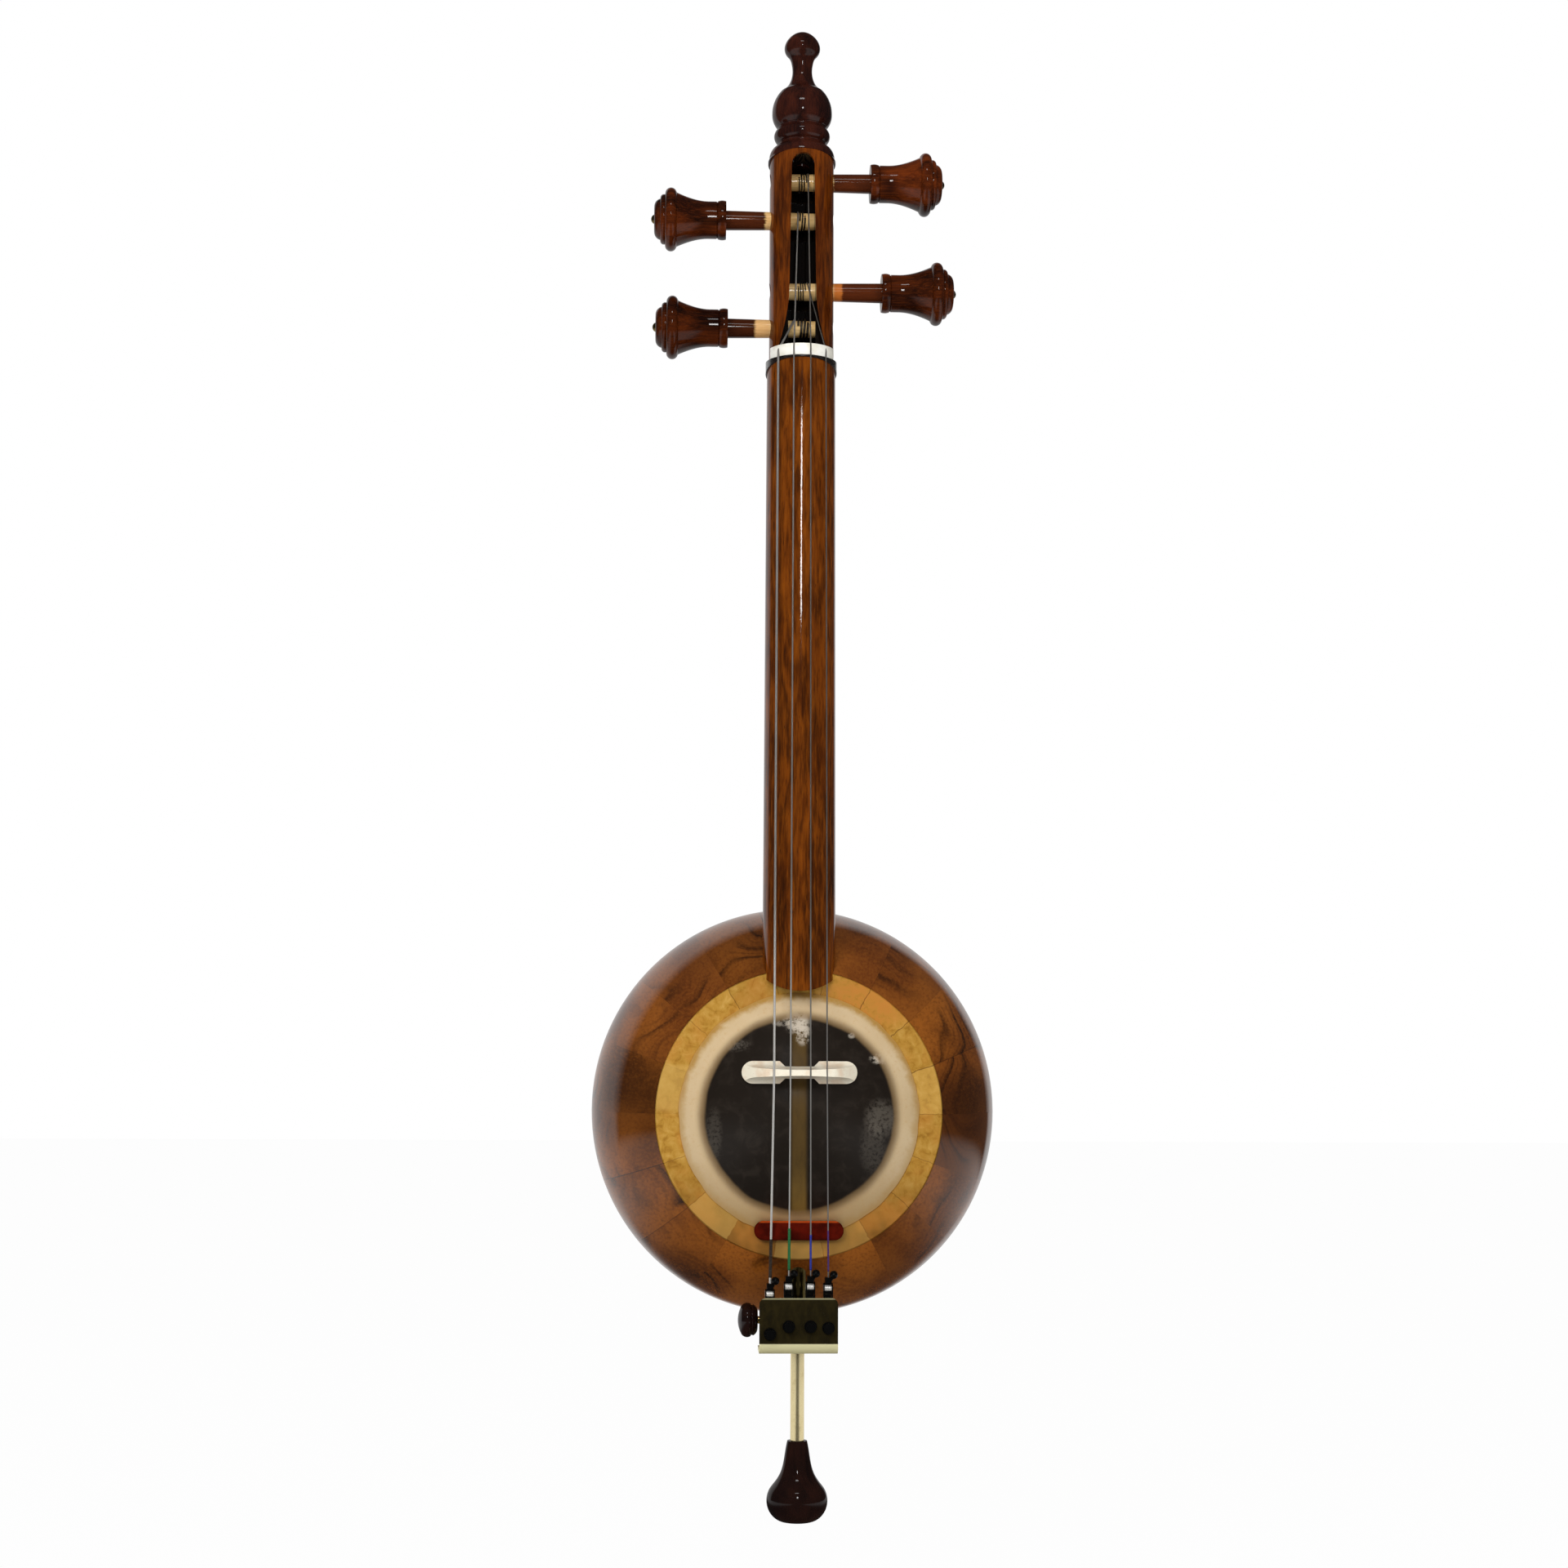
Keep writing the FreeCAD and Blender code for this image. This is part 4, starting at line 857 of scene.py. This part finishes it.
def silkShade(index):
    shade = Shade("silk" + str(index + 1))
    x, y, z = shade.split(shade.place())
    turn = shade.math("ARCTAN2", shade.less(x, strings["tail"][index][0] * mm), y)
    lay = shade.math("SINE", shade.add(shade.times(z, 2 * math.pi / silk["lay"]), turn))
    fuzz = shade.noise(shade.place(), 2600.0, 3.0, 0.6)
    # painted shade: dark lines in the grooves between the silk's turns
    groove = shade.step(lay, 0.1, 0.95, 0.0, 0.4)
    colour = shade.mix(groove, silk["colour"][index], seen(10, 10, 12))
    colour = shade.mix(shade.step(fuzz, 0.5, 0.8, 0.0, 0.25), colour, seen(150, 150, 150))
    shade.bump(shade.add(shade.times(lay, -0.5), fuzz), 0.00005, 0.5)
    return shade.finish(colour, shade.step(fuzz, 0.3, 0.7, 0.55, 0.75), gloss=0.3)


def roundPeg(index, angle, across):
    radius = strings["turnRadius"][index]
    height = strings["pegHeight"][index]
    return Vector((across, -radius * math.cos(angle), height + radius * math.sin(angle))) * mm


def touchAngle(index):
    # where on its peg a string coming straight from the nut arrives
    nut = Vector(strings["nut"][index])
    below = strings["pegHeight"][index] - nut.z
    reach = math.hypot(nut.y, below)
    return math.acos(strings["turnRadius"][index] / reach) - math.atan2(below, -nut.y)


def wireAlong(name, points, radius, material, body, slotName, *standsFor):
    # a round wire that follows the points, made a mesh with closed ends
    curve = bpy.data.curves.new(name + "Route", "CURVE")
    curve.dimensions = "3D"
    curve.bevel_depth = radius
    curve.bevel_resolution = 3
    curve.resolution_u = 4
    curve.use_fill_caps = True
    spline = curve.splines.new("NURBS")
    spline.points.add(len(points) - 1)
    for spot, point in zip(spline.points, points):
        spot.co = (*point, 1.0)
    spline.order_u = 3
    spline.use_endpoint_u = True
    guide = bpy.data.objects.new(name + "Route", curve)
    bpy.context.scene.collection.objects.link(guide)
    swept = guide.evaluated_get(bpy.context.evaluated_depsgraph_get())
    made = bpy.data.meshes.new_from_object(swept)
    bpy.data.objects.remove(guide)
    mesh = bmesh.new()
    mesh.from_mesh(made)
    bpy.data.meshes.remove(made)
    bmesh.ops.remove_doubles(mesh, verts=mesh.verts, dist=radius * 0.02)
    bmesh.ops.recalc_face_normals(mesh, faces=mesh.faces)
    return newPiece(name, mesh, material, body, slotName, *standsFor)


def towards(start, end, reach):
    return start + (end - start).normalized() * reach


def makeString(index):
    number = str(index + 1)
    radius = strings["radius"][index]
    tail = Vector(strings["tail"][index]) * mm
    bridge = Vector(strings["bridge"][index]) * mm
    nut = Vector(strings["nut"][index]) * mm
    way = math.copysign(1, strings["turnPitch"][index])
    place = strings["turnStart"][index] - way * (2 * radius / mm + strings["beside"])
    angle = touchAngle(index)
    wrap = math.radians(strings["wrap"])
    # the string comes in aslant from the nut and swings over to its place round the peg
    run = math.hypot(nut.y, strings["pegHeight"][index] * mm - nut.z) / mm
    swing = strings["turnRadius"][index] * wrap / 4
    across = (place * run + nut.x / mm * swing) / (run + swing)
    peg = roundPeg(index, angle, across)
    step = strings["lowStep"]
    points = [towards(tail, bridge, step * part) for part in range(strings["lowParts"])]
    bend = strings["bridgeBend"]
    points += [towards(bridge, tail, bend), bridge, towards(bridge, nut, bend)]
    bend = strings["nutBend"]
    points += [towards(nut, bridge, bend), nut, towards(nut, peg, bend)]
    points.append(towards(peg, nut, strings["pegBend"]))
    for part in range(1, strings["wrapParts"] + 1):
        share = part / strings["wrapParts"]
        settle = (1 - share) ** 4
        points.append(roundPeg(index, angle + wrap * share, place + (across - place) * settle))
    # the lever and the stretch above the string's end are listed with the string, which stays
    # where it is built
    hold = ("tuner_lever_" + number, "root", tuple(tail + Vector((0, 0, strings["leverEnd"]))),
            tuple(tail + Vector((0, 0, strings["give"]))))
    wireAlong("string" + number + "Wire", points, radius, stringSteel(index), hold,
              "string_steel", "string_" + number)
    low = towards(tail, bridge, silk["start"])
    high = tail + (bridge - tail) * ((silk["top"][index] - tail.z) / (bridge.z - tail.z))
    along = [low + (high - low) * part / silk["parts"] for part in range(silk["parts"] + 1)]
    wireAlong("string" + number + "Silk", along, silk["radius"][index], silkShade(index), hold,
              "string_steel")


def makeWinding(index):
    number = str(index + 1)
    start = strings["turnStart"][index]
    angle = touchAngle(index)
    perTurn = strings["turnParts"]
    points = []
    for part in range(-1, strings["turns"][index] * perTurn + 1):
        share = part / perTurn
        turn = angle + 2 * math.pi * share
        points.append(roundPeg(index, turn, start + strings["turnPitch"][index] * share))
    centre = Vector((points[-1].x, 0, strings["pegHeight"][index] * mm))
    points.append(centre + (points[-1] - centre) * strings["turnEnd"])
    wireAlong("winding" + number + "Wire", points, strings["radius"][index], windingSteel,
              "peg_" + number, "string_steel", "winding_" + number)


print("wood, bone and brass")
dress(staveWood(), "bowl_staves", "back_cap")
dress(neckWood(), "neck")
dress(pegboxWood(), "pegbox")
dress(turnedWood("finialRosewood", finialWood, "z", 0.2), "finial")
dress(turnedWood("footWood", footWood, "z", 0.7, 0.4), "spike_foot")
dress(turnedWood("knobWood", footWood, "x", 0.4), "thumb_knob")
dress(turnedWood("rimWood", shaftWood, "x", 0.9), "mouth_rim")
for index in range(4):
    dress(pegWood(index), "peg_" + str(index + 1))
dress(ringBone(), "mouth_ring")
dress(boneShade("bridgeBone", seen(238, 230, 210), seen(226, 206, 180)), "bridge")
dress(boneShade("nutBone", seen(240, 238, 230), seen(226, 222, 208)), "nut")
dress(hornShade(), "nut_ferrule")
dress(plateBrass(), "tail_plate", "tail_block")
dress(brassShade("tubeBrass", seen(128, 112, 66), brass["tarnish"], 0.5, 0.18), "inner_tube")
dress(brassShade("spikeBrass", brass["gold"], seen(206, 182, 124), 0.3, 0.10, metallic=0.85),
      "spike_rod")
dress(brassShade("screwBrass", seen(220, 190, 130), brass["olive"], 0.3, 0.25, (0.04, 1, 1)),
      "thumb_screw")
dress(brassShade("buttonBrass", seen(120, 104, 62), brass["tarnish"], 0.5, 0.3, (1, 1, 1)),
      *["peg_button_" + str(number) for number in range(1, 5)])
dress(pinShade(), "tuner_pivot_pins")
lacquered = ["tuner_ring_nuts"]
for number in range(1, 5):
    lacquered += [kind + str(number) for kind in ("tuner_frame_", "tuner_lever_", "tuner_screw_")]
dress(lacquerShade(), *lacquered)

print("skin and pad")
makeSkin()
makePad()

print("strings and windings")
windingSteel = steelShade("windingSteel", seen(112, 106, 98), 0.34)
for index in range(4):
    makeString(index)
    makeWinding(index)


# Studio: pale floor and backdrop, soft lamps, and the camera

studio = {
    "floorDrop": 0.065,          # the spike can slide this far below its place in the picture
    "floorSize": 12.0,
    "floorGlow": 0.975,          # how white the floor looks, its shadow apart
    "white": seen(255, 255, 255),
    "ambient": 0.34,
    "frontGloss": 0.06,
    "backGloss": 1.0,
    "sideways": 0.24,            # how much earlier the white shows at the left than at the right
    "glossEdge": (0.66, 0.78),   # the directions between which gloss turns from dark to white
    "shineAside": (0.12, 0.5),    # how far aside of the object the floor starts to shine in gloss
    "lamps": [
        {"name": "leftSoftbox", "place": (-1.0, -1.9, 1.3), "target": (0, 0, 0.35), "wide": 1.0,
         "power": 30, "mirrored": False},
        {"name": "rightSoftbox", "place": (1.2, -1.8, 0.9), "target": (0, 0, 0.3), "wide": 1.0,
         "power": 12, "mirrored": False},
        {"name": "window", "place": (0.0, -1.35, 0.75), "target": (0, 0, 0.45), "wide": 0.09,
         "high": 0.20, "power": 2.1, "mirrored": True},
        {"name": "skylight", "place": (-0.06, -1.2, 1.65), "target": (0, 0, 0.5), "wide": 0.42,
         "high": 0.14, "power": 2.2, "mirrored": True},
    ],
}
camera = {
    "place": (-0.058, -1.217, 0.2232),
    "aimRight": 2.38,
    "aimUp": 5.61,
    "roll": 0.25,
    "lens": 59.06,
}


def makeFloor():
    mesh = bmesh.new()
    bmesh.ops.create_grid(mesh, x_segments=1, y_segments=1, size=studio["floorSize"] / 2)
    for vert in mesh.verts:
        vert.co.z = -studio["floorDrop"]
    data = bpy.data.meshes.new("floor")
    mesh.to_mesh(data)
    mesh.free()
    floor = bpy.data.objects.new("floor", data)
    bpy.context.scene.collection.objects.link(floor)
    shade = Shade("paleFloor")
    path = shade.put("ShaderNodeLightPath")
    shade.finish(seen(236, 236, 234), 0.9)
    glow = shade.put("ShaderNodeEmission")
    shade.feed(glow.inputs["Color"], studio["white"])
    blend = shade.put("ShaderNodeMixShader")
    shade.feed(blend.inputs[0], shade.times(path.outputs["Is Camera Ray"], studio["floorGlow"]))
    shade.feed(blend.inputs[1], shade.shader.outputs[0])
    shade.feed(blend.inputs[2], glow.outputs[0])
    # in gloss the room in front is dark, as the photographer's was, and the far side white
    x, y, z = shade.split(shade.place())
    room = shade.put("ShaderNodeEmission")
    shade.feed(room.inputs["Color"], studio["white"])
    away = shade.reach(x, y)
    aside = shade.step(shade.math("ABSOLUTE", x), *studio["shineAside"])
    aside = shade.times(aside, shade.step(y, -1.6, -0.6))
    aside = shade.times(aside, shade.step(away, 2.0, 0.9, 0.0, 0.85))
    # further off the floor takes the backdrop's own edge between dark and white
    lean = shade.less(y, shade.times(x, studio["sideways"]))
    beyond = shade.step(shade.over(lean, away), *studio["glossEdge"])
    beyond = shade.times(beyond, shade.step(away, 0.25, 0.9))
    bright = shade.math("MAXIMUM", aside, beyond)
    strength = shade.step(bright, 0.0, 1.0, studio["frontGloss"], studio["backGloss"])
    shade.feed(room.inputs["Strength"], strength)
    mirrored = shade.put("ShaderNodeMixShader")
    shade.feed(mirrored.inputs[0], path.outputs["Is Glossy Ray"])
    shade.feed(mirrored.inputs[1], blend.outputs[0])
    shade.feed(mirrored.inputs[2], room.outputs[0])
    shade.feed(shade.tree.nodes["Material Output"].inputs["Surface"], mirrored.outputs[0])
    data.materials.append(shade.material)


class Sky(Shade):
    # the world's own nodes, put together in the same short ways

    def __init__(self, name):
        world = bpy.data.worlds.new(name)
        bpy.context.scene.world = world
        world.use_nodes = True
        self.tree = world.node_tree
        self.shader = self.tree.nodes["Background"]

    def choose(self, factor, first, second):
        node = self.put("ShaderNodeMix")
        for place, value in ((0, factor), (2, first), (3, second)):
            self.feed(node.inputs[place], value)
        return node.outputs[0]


def makeWorld():
    # white to the camera, dim as a light, and dark in front and white behind in gloss
    sky = Sky("studio")
    x, y, z = sky.split(sky.put("ShaderNodeTexCoord").outputs["Generated"])
    lean = sky.put("ShaderNodeMath", operation="MULTIPLY_ADD")
    for socket, value in zip(lean.inputs, (x, -studio["sideways"], y)):
        sky.feed(socket, value)
    behind = sky.put("ShaderNodeMapRange")
    spans = (lean.outputs[0], *studio["glossEdge"], studio["frontGloss"], studio["backGloss"])
    for socket, value in zip(behind.inputs, spans):
        sky.feed(socket, value)
    path = sky.put("ShaderNodeLightPath").outputs
    strength = sky.choose(path["Is Glossy Ray"], studio["ambient"], behind.outputs[0])
    straight = sky.math("MAXIMUM", path["Is Camera Ray"], path["Is Transmission Ray"])
    strength = sky.choose(straight, strength, 1.0)
    sky.feed(sky.shader.inputs["Strength"], strength)
    sky.feed(sky.shader.inputs["Color"], studio["white"])


def makeLamp(lamp):
    light = bpy.data.lights.new(lamp["name"], "AREA")
    light.energy = lamp["power"]
    light.size = lamp["wide"]
    if "high" in lamp:
        light.shape = "RECTANGLE"
        light.size_y = lamp["high"]
    piece = bpy.data.objects.new(lamp["name"], light)
    piece.location = lamp["place"]
    ahead = Vector(lamp["target"]) - Vector(lamp["place"])
    piece.rotation_euler = ahead.to_track_quat("-Z", "Y").to_euler()
    piece.visible_glossy = lamp["mirrored"]
    bpy.context.scene.collection.objects.link(piece)


def makeCamera():
    lens = bpy.data.cameras.new("camera")
    lens.sensor_width = 36
    lens.lens = camera["lens"]
    eye = bpy.data.objects.new("camera", lens)
    eye.location = camera["place"]
    right = math.radians(camera["aimRight"])
    up = math.radians(camera["aimUp"])
    ahead = Vector((math.sin(right) * math.cos(up), math.cos(right) * math.cos(up), math.sin(up)))
    turn = ahead.to_track_quat("-Z", "Y") @ Quaternion((0, 0, 1), math.radians(camera["roll"]))
    eye.rotation_euler = turn.to_euler()
    bpy.context.scene.collection.objects.link(eye)
    bpy.context.scene.camera = eye


print("studio")
makeFloor()
makeWorld()
for lamp in studio["lamps"]:
    makeLamp(lamp)
makeCamera()
bpy.context.scene.view_settings.view_transform = "Standard"
